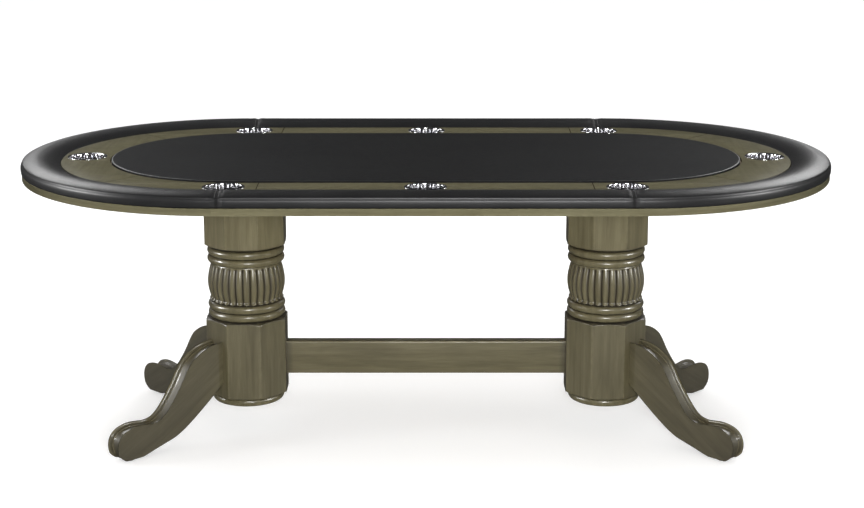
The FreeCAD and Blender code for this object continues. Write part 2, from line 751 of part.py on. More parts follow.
def make_mount_plate(side, way):
    """Square plate under the board, drilled for its screws and the tie rod's nut."""
    name = "MountPlate" + side.title()
    blank = document.addObject("Part::Box", name + "Blank")
    height = "@board_top - @board_thickness - @upper_top"
    bind(blank, Length="@plate_side", Width="@plate_side", Height=height)
    bind(blank, x="-@plate_side / 2", y="-@plate_side / 2")
    thickness = worked_out(height)
    spacing = size("plate_screw_spacing")
    holes = [
        Part.makeCylinder(size("screw_radius"), thickness, Vector(x * spacing, y * spacing, 0))
        for x in (-1, 1)
        for y in (-1, 1)
    ]
    recess = size("nut_height") + size("washer_thickness") + 1
    holes.append(Part.makeCylinder(size("rod_bore"), thickness))
    holes.append(Part.makeCylinder(size("washer_radius") + 1, recess, UP * (thickness - recess)))
    tool = hidden_shape(name + "Holes", Part.makeCompound(holes))
    plate = cut(name, blank, tool)
    bind(plate, x="%d * @pedestal_x" % way, z="@upper_top")
    keep(plate, "mount_plate_%s" % side)


def make_base_ring(side, way):
    """Turned disc under the lower block, with a rounded lower edge."""
    name = "BaseRing" + side.title()
    body = new_body(name)
    sketch = new_sketch(body, name + "Section", "XZ_Plane")
    ground = "0 * @ring_round"
    height = "(@lower_bottom - @ring_bottom)"
    corners = [
        ("@rod_bore", ground),
        ("@ring_radius - @ring_round", ground),
        ("@ring_radius", "@ring_round"),
        ("@ring_radius", "%s - @ring_round" % height),
        ("@ring_radius - @ring_round", height),
        ("@rod_bore", height),
    ]
    closed_outline(sketch, corners, {1: ("radius", "@ring_round", 1), 3: ("radius", "@ring_round", 1)})
    turning(body, name + "Turn", sketch, 360)
    bind(body, x="%d * @pedestal_x" % way, z="@ring_bottom")
    keep(body, "base_ring_%s" % side)


def make_tie_rod(side, way):
    """Threaded rod through a pedestal, with a washer and a nut at each end."""
    lower_washer = size("ring_bottom") - size("washer_thickness")
    recess = size("nut_height") + size("washer_thickness") + 1
    upper_washer = worked_out("@board_top - @board_thickness") - recess
    start = lower_washer - size("nut_height") - 3
    end = upper_washer + size("washer_thickness") + size("nut_height")
    solids = [
        Part.makeCylinder(size("rod_radius"), end - start, UP * start),
        washer(lower_washer),
        nut(lower_washer - size("nut_height")),
        washer(upper_washer),
        nut(upper_washer + size("washer_thickness")),
    ]
    finish("tie_rod_%s" % side, Part.makeCompound(solids), x="%d * @pedestal_x" % way)


def make_pedestal(side, way):
    """Mounting plate, two blocks, vase, base ring, tie rod and the two legs."""
    make_mount_plate(side, way)
    block_tube("UpperBlock" + side.title(), "upper_block_%s" % side, "@upper_bottom", "@upper_top", way)
    make_vase(side, way)
    mirror = 0 if way > 0 else 180
    leg_angles = {face: mirror + out * way * 45 for face, out in FRONT_AND_BACK}
    bolt_angles = list(leg_angles.values()) + [180 - mirror]
    base = size("lower_bottom")
    tool = hidden_shape("LowerBlockHoles" + side.title(), bolt_holes(bolt_angles, base))
    lower = ("LowerBlock" + side.title(), "lower_block_%s" % side, "@lower_bottom", "@lower_top")
    block_tube(*lower, way, tool)
    make_base_ring(side, way)
    make_tie_rod(side, way)
    for face, angle in leg_angles.items():
        name = "LegHoles" + face.title() + side.title()
        make_leg("leg_%s_%s" % (face, side), way, angle, hidden_shape(name, bolt_holes([0], 0)))
    bolts = Part.makeCompound(bolt_shapes(bolt_angles, 0))
    finish("pedestal_bolts_%s" % side, bolts, x="%d * @pedestal_x" % way)


def make_stretcher():
    """Board on edge between the two lower blocks, with eased edges."""
    body = new_body("StretcherBoard")
    sketch = new_sketch(body, "StretcherSection", "YZ_Plane")
    half = "@stretcher_thickness / 2"
    round_over = "@stretcher_round"
    top = "@stretcher_height"
    ground = "0 * @stretcher_round"
    corners = [
        ("%s - %s" % (half, round_over), ground),
        (half, round_over),
        (half, "%s - %s" % (top, round_over)),
        ("%s - %s" % (half, round_over), top),
        ("%s - %s" % (round_over, half), top),
        ("-(%s)" % half, "%s - %s" % (top, round_over)),
        ("-(%s)" % half, round_over),
        ("%s - %s" % (round_over, half), ground),
    ]
    arcs = {index: ("radius", round_over, 1) for index in (0, 2, 4, 6)}
    closed_outline(sketch, corners, arcs)
    pad(body, "StretcherPad", sketch, "2 * (@pedestal_x - @block_flat)", both_ways=True)
    reach = size("pedestal_x") - size("block_flat") - size("bolt_reach")
    holes = [
        Part.makeCylinder(
            size("bolt_radius"), size("bolt_reach"),
            Vector(way * reach, 0, height - size("stretcher_bottom")), Vector(way, 0, 0))
        for way in (-1, 1)
        for height in (size("bolt_low"), size("bolt_high"))
    ]
    tool = hidden_shape("StretcherHoles", Part.makeCompound(holes))
    stretcher = cut("Stretcher", body, tool)
    bind(stretcher, z="@stretcher_bottom")
    keep(stretcher, "stretcher")


def wood_screws(points, head_bottom, length):
    """Screws driven upward, heads below head_bottom plus the head's height."""
    shapes = []
    for point in points:
        head = Part.makeCylinder(size("screw_head"), size("screw_head_height"), point.add(UP * head_bottom))
        neck = head_bottom + size("screw_head_height")
        shank = Part.makeCylinder(size("screw_radius"), length, point.add(UP * neck))
        shapes.append(head.fuse(shank))
    return Part.makeCompound(shapes)


def make_screws():
    """Screws of the rail's core and of the two mounting plates."""
    board_bottom = size("board_top") - size("board_thickness")
    head_height = size("screw_head_height")
    rail = wood_screws(RAIL_SCREWS, board_bottom - head_height, size("board_thickness"))
    finish("rail_screws", rail)
    plate_thickness = board_bottom - size("upper_top")
    length = plate_thickness + size("screw_reach")
    finish("plate_screws", wood_screws(PLATE_SCREWS, size("upper_top") - head_height, length))


def make_glides():
    """A flat plastic glide under the foot of each leg."""
    discs = []
    for _, way in RIGHT_AND_LEFT:
        for _, out in FRONT_AND_BACK:
            diagonal = size("glide_reach") / math.sqrt(2)
            place = Vector(way * (size("pedestal_x") + diagonal), out * diagonal, 0)
            disc = Part.makeCylinder(size("glide_radius"), size("foot_height"), place)
            discs.append(disc)
    finish("glides", Part.makeCompound(discs))


def check_document():
    """Stops with a message if any object failed or any sub-part is empty or faulty."""
    document.recompute()
    problems = []
    for thing in document.Objects:
        if "Invalid" in thing.State or "Error" in thing.State:
            problems.append("%s: %s" % (thing.Name, thing.State))
    for thing in sub_parts:
        if thing.Shape.isNull() or not thing.Shape.isValid() or not thing.Shape.Solids:
            problems.append("%s has no valid solid" % thing.Label)
    if problems:
        raise RuntimeError("\n".join(problems))


def write_sub_parts():
    os.makedirs("parts", exist_ok=True)
    for thing in sub_parts:
        thing.Shape.exportStep("parts/%s.step" % thing.Label)
        box = thing.Shape.BoundBox
        print("%-24s %2d solids %9.1f cm3  X %7.1f %7.1f  Y %7.1f %7.1f  Z %6.1f %6.1f" % (
            thing.Label, len(thing.Shape.Solids), thing.Shape.Volume / 1000,
            box.XMin, box.XMax, box.YMin, box.YMax, box.ZMin, box.ZMax))


make_base_board()
make_lipping()
make_rail()
make_racetrack()
make_playfield()
for cup_label, cup_across, cup_along in CUPS:
    make_cup(cup_label, cup_across, cup_along)
for side_name, side_way in RIGHT_AND_LEFT:
    make_pedestal(side_name, side_way)
make_stretcher()
make_screws()
make_glides()
check_document()
write_sub_parts()
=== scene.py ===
import json
import math
import random

import bmesh
import bpy
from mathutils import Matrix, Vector, noise


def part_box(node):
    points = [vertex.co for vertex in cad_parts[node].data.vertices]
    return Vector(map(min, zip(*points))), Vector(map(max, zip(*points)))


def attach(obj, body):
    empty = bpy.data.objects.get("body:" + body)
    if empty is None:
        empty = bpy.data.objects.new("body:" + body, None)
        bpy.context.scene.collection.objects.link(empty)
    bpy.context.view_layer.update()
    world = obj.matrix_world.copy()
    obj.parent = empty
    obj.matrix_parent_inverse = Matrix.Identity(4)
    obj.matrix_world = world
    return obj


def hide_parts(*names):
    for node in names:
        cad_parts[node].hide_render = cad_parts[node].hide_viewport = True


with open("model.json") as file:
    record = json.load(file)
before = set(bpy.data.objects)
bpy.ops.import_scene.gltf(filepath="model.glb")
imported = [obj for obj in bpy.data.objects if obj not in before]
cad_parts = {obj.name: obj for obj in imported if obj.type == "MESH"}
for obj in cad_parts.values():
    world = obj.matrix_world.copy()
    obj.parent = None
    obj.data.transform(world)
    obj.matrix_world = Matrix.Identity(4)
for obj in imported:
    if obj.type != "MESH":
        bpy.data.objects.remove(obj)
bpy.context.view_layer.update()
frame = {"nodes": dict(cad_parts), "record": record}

# Everything is in metres. Places and sizes come from the CAD nodes.
MM = 0.001
random.seed(7)

SIDES = (("right", 1), ("left", -1))
FACES = (("front", -1), ("back", 1))


def low(node):
    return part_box(node)[0]


def high(node):
    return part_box(node)[1]


END_CENTRE = high("rail_core_front").x
RAIL_SEAM = high("rail_pad_front").x
RAIL_OUTER = -low("rail_pad_front").y
RAIL_INNER = -high("rail_pad_front").y
RAIL_WIDTH = RAIL_OUTER - RAIL_INNER
RAIL_BOTTOM = low("rail_pad_front").z
RAIL_TOP = high("rail_pad_front").z
BOARD_TOP = high("lipping_front").z
BOARD_BOTTOM = low("lipping_front").z
LIP_OUTER = -low("lipping_front").y
LIP_INNER = -high("lipping_front").y
TRACK_TOP = high("racetrack_front").z
TRACK_JOINT = high("racetrack_front").x
FIELD_RADIUS = high("playfield_pad").y
FIELD_CENTRE = high("playfield_pad").x - FIELD_RADIUS
FIELD_BOTTOM = low("playfield_pad").z
FIELD_TOP = high("playfield_pad").z
PEDESTAL_X = (low("upper_block_right").x + high("upper_block_right").x) / 2
BLOCK_FLAT = high("upper_block_right").y
BLOCK_CORNER = BLOCK_FLAT / math.cos(math.pi / 8)


# ------------------------------------------------------------------ materials


class Nodes:
    """A short way to write a material's nodes."""

    def __init__(self, name, base, roughness, **sockets):
        self.material = bpy.data.materials.new(name)
        self.material.use_nodes = True
        self.tree = self.material.node_tree
        self.shader = self.tree.nodes["Principled BSDF"]
        self.shader.inputs["Base Color"].default_value = (*base, 1)
        self.shader.inputs["Roughness"].default_value = roughness
        for socket, value in sockets.items():
            self.shader.inputs[socket.replace("_", " ")].default_value = value
        self.material.diffuse_color = (*base, 1)

    def link(self, source, target):
        self.tree.links.new(source, target)

    def place(self, attribute=None, scale=(1, 1, 1), turn=(0, 0, 0)):
        """Where a texture is looked up: a point attribute of the mesh, or the object itself."""
        mapping = self.tree.nodes.new("ShaderNodeMapping")
        mapping.inputs["Scale"].default_value = scale
        mapping.inputs["Rotation"].default_value = turn
        if attribute:
            source = self.tree.nodes.new("ShaderNodeAttribute")
            source.attribute_name = attribute
            self.link(source.outputs["Vector"], mapping.inputs["Vector"])
        else:
            source = self.tree.nodes.new("ShaderNodeTexCoord")
            self.link(source.outputs["Object"], mapping.inputs["Vector"])
        return mapping.outputs["Vector"]

    def noise(self, where, scale, detail=4.0, roughness=0.55, distortion=0.0):
        texture = self.tree.nodes.new("ShaderNodeTexNoise")
        texture.inputs["Scale"].default_value = scale
        texture.inputs["Detail"].default_value = detail
        texture.inputs["Roughness"].default_value = roughness
        texture.inputs["Distortion"].default_value = distortion
        self.link(where, texture.inputs["Vector"])
        return texture.outputs["Fac"]

    def cells(self, where, scale, feature="F1", output="Distance", randomness=1.0):
        texture = self.tree.nodes.new("ShaderNodeTexVoronoi")
        texture.feature = feature
        texture.inputs["Scale"].default_value = scale
        texture.inputs["Randomness"].default_value = randomness
        self.link(where, texture.inputs["Vector"])
        return texture.outputs[output]

    def bands(self, where, scale, direction, distortion=0.0):
        texture = self.tree.nodes.new("ShaderNodeTexWave")
        texture.wave_type = "BANDS"
        texture.bands_direction = direction
        texture.inputs["Scale"].default_value = scale
        texture.inputs["Distortion"].default_value = distortion
        self.link(where, texture.inputs["Vector"])
        return texture.outputs["Fac"]

    def ramp(self, value, stops):
        """A colour ramp; stops are (position, colour), and a colour may be one grey."""
        ramp = self.tree.nodes.new("ShaderNodeValToRGB")
        elements = ramp.color_ramp.elements
        while len(elements) < len(stops):
            elements.new(0.5)
        for element, (position, colour) in zip(elements, stops):
            colour = colour if isinstance(colour, tuple) else (colour, colour, colour)
            element.position = position
            element.color = (*colour, 1)
        self.link(value, ramp.inputs["Fac"])
        return ramp.outputs["Color"]

    def mix(self, kind, first, second, amount=1.0):
        node = self.tree.nodes.new("ShaderNodeMix")
        node.data_type = "RGBA"
        node.blend_type = kind
        for value, socket in ((amount, node.inputs[0]), (first, node.inputs[6]), (second, node.inputs[7])):
            if isinstance(value, (int, float)):
                socket.default_value = value
            elif isinstance(value, tuple):
                socket.default_value = (*value, 1)
            else:
                self.link(value, socket)
        return node.outputs[2]

    def sums(self, operation, first, second):
        node = self.tree.nodes.new("ShaderNodeMath")
        node.operation = operation
        for value, socket in ((first, node.inputs[0]), (second, node.inputs[1])):
            if isinstance(value, (int, float)):
                socket.default_value = value
            else:
                self.link(value, socket)
        return node.outputs[0]

    def bump(self, height, distance, strength=1.0, before=None):
        node = self.tree.nodes.new("ShaderNodeBump")
        node.inputs["Distance"].default_value = distance
        node.inputs["Strength"].default_value = strength
        self.link(height, node.inputs["Height"])
        if before:
            self.link(before, node.inputs["Normal"])
        return node.outputs["Normal"]

    def finish(self, colour=None, roughness=None, normal=None):
        for value, socket in ((colour, "Base Color"), (roughness, "Roughness"), (normal, "Normal")):
            if value is not None:
                self.link(value, self.shader.inputs[socket])
        return self.material


def stained_wood(name, dark, middle, pale, gloss):
    """Olive-grey stained hardwood: long grain, pores, painted shade in the hollows, edges lightened partly
    by wear and partly as a painted highlight.

    The mesh's point attributes say where: grain runs along its first axis, painted_shade is 1
    where shade is painted (crevices, joints, ends, low parts), and edge is 1 on arrises
    lightened partly as wear and partly as a painted highlight.
    """
    wood = Nodes(name, middle, 0.32, Specular_IOR_Level=0.02 + 0.33 * gloss,
                 Coat_Weight=0.3 * gloss, Coat_Roughness=0.15)
    long_grain = wood.noise(wood.place("grain", (1.6, 20, 20)), 3.2, 5, 0.6, 0.35)
    colour = wood.ramp(long_grain, [(0.25, dark), (0.50, middle), (0.78, pale)])
    streaks = wood.noise(wood.place("grain", (5, 190, 190)), 3.0, 3, 0.6)
    streak_tone = wood.ramp(streaks, [(0.34, 0.72), (0.50, 1.0), (0.80, 1.0)])
    colour = wood.mix("MULTIPLY", colour, streak_tone, 0.35)
    clouds = wood.noise(wood.place("grain", (2.5, 5, 5)), 2.4, 3, 0.5)
    cloud_tone = wood.ramp(clouds, [(0.30, 0.84), (0.70, 1.10)])
    colour = wood.mix("MULTIPLY", colour, cloud_tone, 0.55)
    pores = wood.noise(wood.place("grain", (24, 900, 900)), 1.6, 2, 0.5)
    pore_height = wood.ramp(pores, [(0.36, 0.0), (0.46, 1.0)])
    colour = wood.mix("MULTIPLY", colour, wood.ramp(pores, [(0.34, 0.70), (0.46, 1.0)]), 0.30)
    # Painted shade: the colour is mixed towards near-black in the marked crevices, joints, ends and low
    # parts.
    painted_shade = wood.tree.nodes.new("ShaderNodeAttribute")
    painted_shade.attribute_name = "painted_shade"
    colour = wood.mix("MIX", colour, (0.022, 0.017, 0.008), painted_shade.outputs["Fac"])
    # Arrises are lightened towards the pale tone: partly wear, partly a painted highlight.
    edge = wood.tree.nodes.new("ShaderNodeAttribute")
    edge.attribute_name = "edge"
    patchy = wood.noise(wood.place("grain", (30, 30, 30)), 2.0, 3, 0.6)
    wear_and_highlight = wood.sums("MULTIPLY", edge.outputs["Fac"], wood.ramp(patchy, [(0.35, 0.25), (0.65, 1.0)]))
    colour = wood.mix("MIX", colour, tuple(min(1, 1.55 * c) for c in pale), wear_and_highlight)
    roughness = wood.ramp(long_grain, [(0.25, 0.35), (0.75, 0.28)])
    roughness = wood.mix("MIX", roughness, (0.75, 0.75, 0.75), painted_shade.outputs["Fac"])
    normal = wood.bump(pore_height, 0.00012, 0.35)
    normal = wood.bump(streaks, 0.00030, 0.30, normal)
    return wood.finish(colour, roughness, normal)


def upholstery_vinyl(name):
    """Black upholstery vinyl: fine leather grain, faint large shading, soft sheen."""
    vinyl = Nodes(name, (0.012, 0.012, 0.0125), 0.45, Specular_IOR_Level=0.32)
    where = vinyl.place(None, (1, 1, 1))
    pebble = vinyl.cells(where, 620, "SMOOTH_F1")
    creases = vinyl.cells(where, 330, "DISTANCE_TO_EDGE")
    crease_height = vinyl.ramp(creases, [(0.0, 0.0), (0.10, 1.0)])
    broad = vinyl.noise(where, 9, 3, 0.5)
    fine = vinyl.noise(where, 240, 3, 0.6)
    colour = vinyl.ramp(broad, [(0.3, (0.0066, 0.0066, 0.0071)), (0.7, (0.0104, 0.0102, 0.0105))])
    colour = vinyl.mix("MULTIPLY", colour, vinyl.ramp(creases, [(0.0, 0.55), (0.12, 1.0)]), 0.6)
    # Painted shade: the vinyl turns near-black at the seams and along its tucked-under bottom.
    painted_shade = vinyl.tree.nodes.new("ShaderNodeAttribute")
    painted_shade.attribute_name = "painted_shade"
    colour = vinyl.mix("MIX", colour, (0.0012, 0.0012, 0.0013), painted_shade.outputs["Fac"])
    roughness = vinyl.ramp(fine, [(0.25, 0.36), (0.75, 0.48)])
    roughness = vinyl.mix("MIX", roughness, (0.85, 0.85, 0.85), painted_shade.outputs["Fac"])
    normal = vinyl.bump(pebble, 0.00022, 0.35)
    normal = vinyl.bump(crease_height, 0.00012, 0.30, normal)
    return vinyl.finish(colour, roughness, normal)


def playing_cloth(name, specular, smoothest):
    """Black woven playing cloth: crossing threads, faint shading, shinier where it is stretched."""
    cloth = Nodes(name, (0.009, 0.009, 0.0095), 0.62, Specular_IOR_Level=specular)
    where = cloth.place(None, (1, 1, 1))
    warp = cloth.bands(where, 520, "X", 0.6)
    weft = cloth.bands(where, 520, "Y", 0.6)
    weave = cloth.sums("MULTIPLY", warp, weft)
    broad = cloth.noise(cloth.place(None, (1, 2.2, 1)), 3.5, 4, 0.55)
    colour = cloth.ramp(broad, [(0.25, (0.0070, 0.0070, 0.0075)), (0.75, (0.0105, 0.0105, 0.0110))])
    colour = cloth.mix("MULTIPLY", colour, cloth.ramp(weave, [(0.0, 0.62), (0.7, 1.12)]), 0.8)
    slub = cloth.noise(cloth.place(None, (60, 900, 1)), 1.0, 2, 0.5)
    roughness = cloth.ramp(slub, [(0.3, smoothest), (0.7, smoothest + 0.12)])
    normal = cloth.bump(weave, 0.00018, 0.45)
    normal = cloth.bump(slub, 0.00010, 0.3, normal)
    return cloth.finish(colour, roughness, normal)


def polished_steel(name):
    """Polished stainless steel with faint turning marks and handling smears."""
    steel = Nodes(name, (0.62, 0.62, 0.63), 0.10, Metallic=1.0,
                  Anisotropic=0.85, Anisotropic_Rotation=0.25)
    where = steel.place("turned", (1, 1, 1))
    marks = steel.noise(steel.place("turned", (3, 3, 900)), 1.0, 2, 0.5)
    smears = steel.noise(where, 28, 4, 0.6)
    colour = steel.ramp(smears, [(0.3, (0.56, 0.56, 0.58)), (0.7, (0.68, 0.68, 0.69))])
    roughness = steel.ramp(marks, [(0.3, 0.08), (0.75, 0.12)])
    return steel.finish(colour, roughness)


def zinc_steel(name):
    """Zinc-plated fixings: mottled spangle and dull patches."""
    zinc = Nodes(name, (0.55, 0.56, 0.57), 0.35, Metallic=1.0)
    where = zinc.place()
    spangle = zinc.cells(where, 420)
    dull = zinc.noise(where, 60, 4, 0.6)
    colour = zinc.ramp(spangle, [(0.1, (0.46, 0.47, 0.49)), (0.7, (0.62, 0.62, 0.62))])
    roughness = zinc.ramp(dull, [(0.3, 0.28), (0.7, 0.52)])
    return zinc.finish(colour, roughness, zinc.bump(spangle, 0.00004, 0.4))


def plywood(name):
    """Sealed plywood: pale face grain with knots of darker figure."""
    ply = Nodes(name, (0.30, 0.22, 0.13), 0.55)
    where = ply.place(None, (1.6, 22, 22))
    grain = ply.noise(where, 3.0, 5, 0.62, 0.6)
    stops = [(0.28, (0.155, 0.105, 0.058)), (0.52, (0.26, 0.19, 0.115)), (0.75, (0.35, 0.265, 0.17))]
    colour = ply.ramp(grain, stops)
    pores = ply.noise(ply.place(None, (20, 500, 500)), 1.5, 2, 0.5)
    colour = ply.mix("MULTIPLY", colour, ply.ramp(pores, [(0.35, 0.7), (0.5, 1.0)]), 0.6)
    roughness = ply.ramp(grain, [(0.3, 0.62), (0.7, 0.48)])
    return ply.finish(colour, roughness, ply.bump(pores, 0.00015, 0.4))


def nylon(name):
    """Black nylon with a fine moulded texture."""
    plastic = Nodes(name, (0.02, 0.02, 0.02), 0.5)
    where = plastic.place()
    speckle = plastic.noise(where, 900, 3, 0.6)
    scuffs = plastic.noise(where, 70, 4, 0.6)
    colour = plastic.ramp(scuffs, [(0.3, (0.014, 0.014, 0.014)), (0.75, (0.035, 0.034, 0.033))])
    roughness = plastic.ramp(scuffs, [(0.3, 0.45), (0.75, 0.65)])
    return plastic.finish(colour, roughness, plastic.bump(speckle, 0.00006, 0.5))


def thread(name):
    """Black bonded sewing thread with its twist."""
    sewing = Nodes(name, (0.03, 0.03, 0.03), 0.55)
    where = sewing.place()
    twist = sewing.bands(where, 1400, "DIAGONAL")
    colour = sewing.ramp(twist, [(0.1, (0.05, 0.05, 0.05)), (0.9, (0.13, 0.13, 0.13))])
    roughness = sewing.ramp(twist, [(0.1, 0.65), (0.9, 0.45)])
    return sewing.finish(colour, roughness, sewing.bump(twist, 0.0001, 0.6))


def floor_paint(name):
    """Plain pale studio floor."""
    paint = Nodes(name, (0.6, 0.6, 0.6), 0.85, Emission_Color=(1, 1, 1, 1), Emission_Strength=0.50)
    patches = paint.noise(paint.place(), 1.2, 3, 0.5)
    return paint.finish(paint.ramp(patches, [(0.3, 0.59), (0.7, 0.61)]))


TOP_WOOD = stained_wood("top_wood", (0.070, 0.063, 0.036), (0.092, 0.084, 0.049), (0.115, 0.106, 0.065), 0.0)
PEDESTAL_WOOD = stained_wood("pedestal_wood", (0.076, 0.065, 0.034), (0.106, 0.093, 0.050),
                             (0.140, 0.124, 0.072), 1.0)
VINYL = upholstery_vinyl("rail_vinyl")
CLOTH = playing_cloth("playing_cloth", 0.06, 0.60)
TIGHT_CLOTH = playing_cloth("playing_cloth_stretched", 0.5, 0.34)
STEEL = polished_steel("cup_steel")
ZINC = zinc_steel("zinc_steel")
PLY = plywood("plywood")
NYLON = nylon("nylon")
THREAD = thread("sewing_thread")


# ------------------------------------------------------------------ mesh tools


def make_piece(name, vertices, faces, material, body="root", smooth_angle=35):
    """A mesh object that rides a body; edges sharper than the angle stay sharp."""
    mesh = bpy.data.meshes.new(name)
    mesh.from_pydata(vertices, [], faces)
    mesh.validate()
    mesh.materials.append(material)
    piece = bpy.data.objects.new(name, mesh)
    bpy.context.scene.collection.objects.link(piece)
    mesh.shade_smooth()
    mesh.set_sharp_from_angle(angle=math.radians(smooth_angle))
    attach(piece, body)
    return piece


def set_values(piece, name, values):
    """Stores one number per point, for the material to read."""
    layer = piece.data.attributes.new(name, "FLOAT", "POINT")
    layer.data.foreach_set("value", values)


def set_grain(piece, along, seed, across=None):
    """Stores each point in the wood's own axes: first along the grain, then across it."""
    along = Vector(along).normalized()
    across = Vector(across) if across else along.orthogonal()
    across = (across - along * across.dot(along)).normalized()
    third = along.cross(across)
    shift = Vector((seed * 3.17, seed * 1.31, seed * 0.77))
    flat = []
    for vertex in piece.data.vertices:
        point = vertex.co
        flat += [point.dot(along) + shift.x, point.dot(across) + shift.y, point.dot(third) + shift.z]
    layer = piece.data.attributes.new("grain", "FLOAT_VECTOR", "POINT")
    layer.data.foreach_set("vector", flat)


def grid_faces(rows, columns, close_rows=False, close_columns=False):
    """Quads over a grid of points stored row by row."""
    faces = []
    for row in range(rows if close_rows else rows - 1):
        below = row * columns
        above = ((row + 1) % rows) * columns
        for column in range(columns if close_columns else columns - 1):
            beside = (column + 1) % columns
            faces.append((below + column, below + beside, above + beside, above + column))
    return faces


def smooth_line(points, step):
    """Points every step along a smooth line through the given points."""
    line = []
    count = len(points)
    for index in range(count - 1):
        before = points[max(index - 1, 0)]
        start, end = points[index], points[index + 1]
        after = points[min(index + 2, count - 1)]
        length = math.dist(start, end)
        pieces = max(1, round(length / step))
        for piece in range(pieces):
            t = piece / pieces
            line.append(tuple(
                0.5 * (2 * b + (c - a) * t + (2 * a - 5 * b + 4 * c - d) * t ** 2
                       + (3 * b - a - 3 * c + d) * t ** 3)
                for a, b, c, d in zip(before, start, end, after)))
    line.append(tuple(points[-1]))
    return line


def arc_points(centre, radius, start, end, count):
    """Points on an arc, angles in degrees."""
    turns = [math.radians(start + (end - start) * k / count) for k in range(count + 1)]
    return [(centre[0] + radius * math.cos(t), centre[1] + radius * math.sin(t)) for t in turns]


# ------------------------------------------------------------------ the table's long outline


def outline_stations(start, end, step, fine_at=()):
    """Places along the rounded outline: skeleton point, outward direction and run length.

    start and end are run lengths, counted anticlockwise from the middle of the front
    side. The spacing shrinks near the run lengths in fine_at.
    """
    straight = END_CENTRE
    arc = math.pi * RAIL_OUTER
    total = 4 * straight + 2 * arc
    runs = [start]
    while runs[-1] < end - 1e-6:
        nearest = min((abs(runs[-1] - place) for place in fine_at), default=1.0)
        stride = min(step, max(0.0011, 0.0011 + nearest * 0.16))
        runs.append(min(runs[-1] + stride, end))
    stations = []
    for run in runs:
        place = run % total
        if place <= straight:
            skeleton, outward = Vector((place, 0, 0)), Vector((0, -1, 0))
        elif place <= straight + arc:
            turn = (place - straight) / RAIL_OUTER - math.pi / 2
            skeleton, outward = Vector((straight, 0, 0)), Vector((math.cos(turn), math.sin(turn), 0))
        elif place <= 3 * straight + arc:
            skeleton, outward = Vector((2 * straight + arc - place, 0, 0)), Vector((0, 1, 0))
        elif place <= 3 * straight + 2 * arc:
            turn = (place - 3 * straight - arc) / RAIL_OUTER + math.pi / 2
            skeleton, outward = Vector((-straight, 0, 0)), Vector((math.cos(turn), math.sin(turn), 0))
        else:
            skeleton, outward = Vector((place - total, 0, 0)), Vector((0, -1, 0))
        stations.append((skeleton, outward, run))
    return stations


HALF_ARC = math.pi * RAIL_OUTER
SEAM_RUNS = (RAIL_SEAM, 2 * END_CENTRE - RAIL_SEAM + HALF_ARC,
             2 * END_CENTRE + RAIL_SEAM + HALF_ARC, 4 * END_CENTRE - RAIL_SEAM + 2 * HALF_ARC)
FULL_RUN = 4 * END_CENTRE + 2 * HALF_ARC
PANELS = {
    "front": (-SEAM_RUNS[0], SEAM_RUNS[0]),
    "right": (SEAM_RUNS[0], SEAM_RUNS[1]),
    "back": (SEAM_RUNS[1], SEAM_RUNS[2]),
    "left": (SEAM_RUNS[2], SEAM_RUNS[3]),
}


# ------------------------------------------------------------------ padded rail

# The rail's section: distance inward from its outer side, and height over the board.
RAIL_SECTION = [
    (2.6, 0.0), (1.0, 1.6), (0.35, 5.0), (0.1, 10.0), (0.25, 15.0), (0.9, 19.0),
    (2.6, 22.0), (3.6, 23.0), (3.2, 24.3), (4.6, 26.4), (8.5, 28.7), (14.5, 31.1),
    (22.0, 33.3), (31.0, 35.1), (41.0, 35.95), (50.0, 35.6), (60.0, 34.4), (70.0, 32.3),
    (79.0, 29.6), (88.0, 26.2), (95.5, 22.8), (100.2, 20.4), (102.0, 19.4), (102.8, 16.0), (103.0, 8.0),
]
SECTION_LINE = smooth_line([(inward * MM, height * MM) for inward, height in RAIL_SECTION], 0.0023)
STITCH_OFFSET = 0.0046
STITCH_LENGTH = 0.0042
STITCH_PITCH = 0.0062
STITCH_RADIUS = 0.0006


def section_normals(line):
    """Unit normals, pointing out of the padding, at the points of a section."""
    normals = []
    for index in range(len(line)):
        before = line[max(index - 1, 0)]
        after = line[min(index + 1, len(line) - 1)]
        along = Vector((after[0] - before[0], after[1] - before[1]))
        normals.append(Vector((-along.y, along.x)).normalized())
    return normals


SECTION_NORMALS = section_normals(SECTION_LINE)


def bell(distance, width):
    return math.exp(-(distance / width) ** 2)


def rail_dip(run, column, seed):
    """How far the vinyl sinks at a place: into the seam, under the stitches, in puckers."""
    depth = 0.0
    for place in SEAM_RUNS:
        away = min(abs(run - place), abs(run + FULL_RUN - place), abs(run - FULL_RUN - place))
        if away > 0.09:
            continue
        depth += 0.0017 * bell(away, 0.0026)
        depth += 0.0012 * bell(away - STITCH_OFFSET, 0.0016)
        across = column * 0.0023
        pucker = noise.noise(Vector((across * 26, seed + away * 150, place * 7)))
        pucker += 0.5 * noise.noise(Vector((across * 60, seed + 5 + away * 300, place * 3)))
        depth += 0.0013 * pucker * bell(away - 0.011, 0.012)
        depth += 0.0007 * bell(away, 0.016)
    swell = noise.noise(Vector((run * 2.1, column * 0.05, seed)))
    ripple = noise.noise(Vector((run * 11.0, column * 0.11, seed + 3)))
    return depth + 0.00035 * swell + 0.00012 * ripple


def rail_point(skeleton, outward, run, column, seed):
    inward, height = SECTION_LINE[column]
    normal = SECTION_NORMALS[column]
    edge = min(1.0, min(column, len(SECTION_LINE) - 1 - column) / 6)
    dip = rail_dip(run, column, seed) * edge
    inward = max(inward - normal.x * dip * -1, 0.0)
    height = min(height - normal.y * dip, RAIL_TOP - RAIL_BOTTOM)
    place = skeleton + outward * (RAIL_OUTER - inward)
    return Vector((place.x, place.y, RAIL_BOTTOM + height))


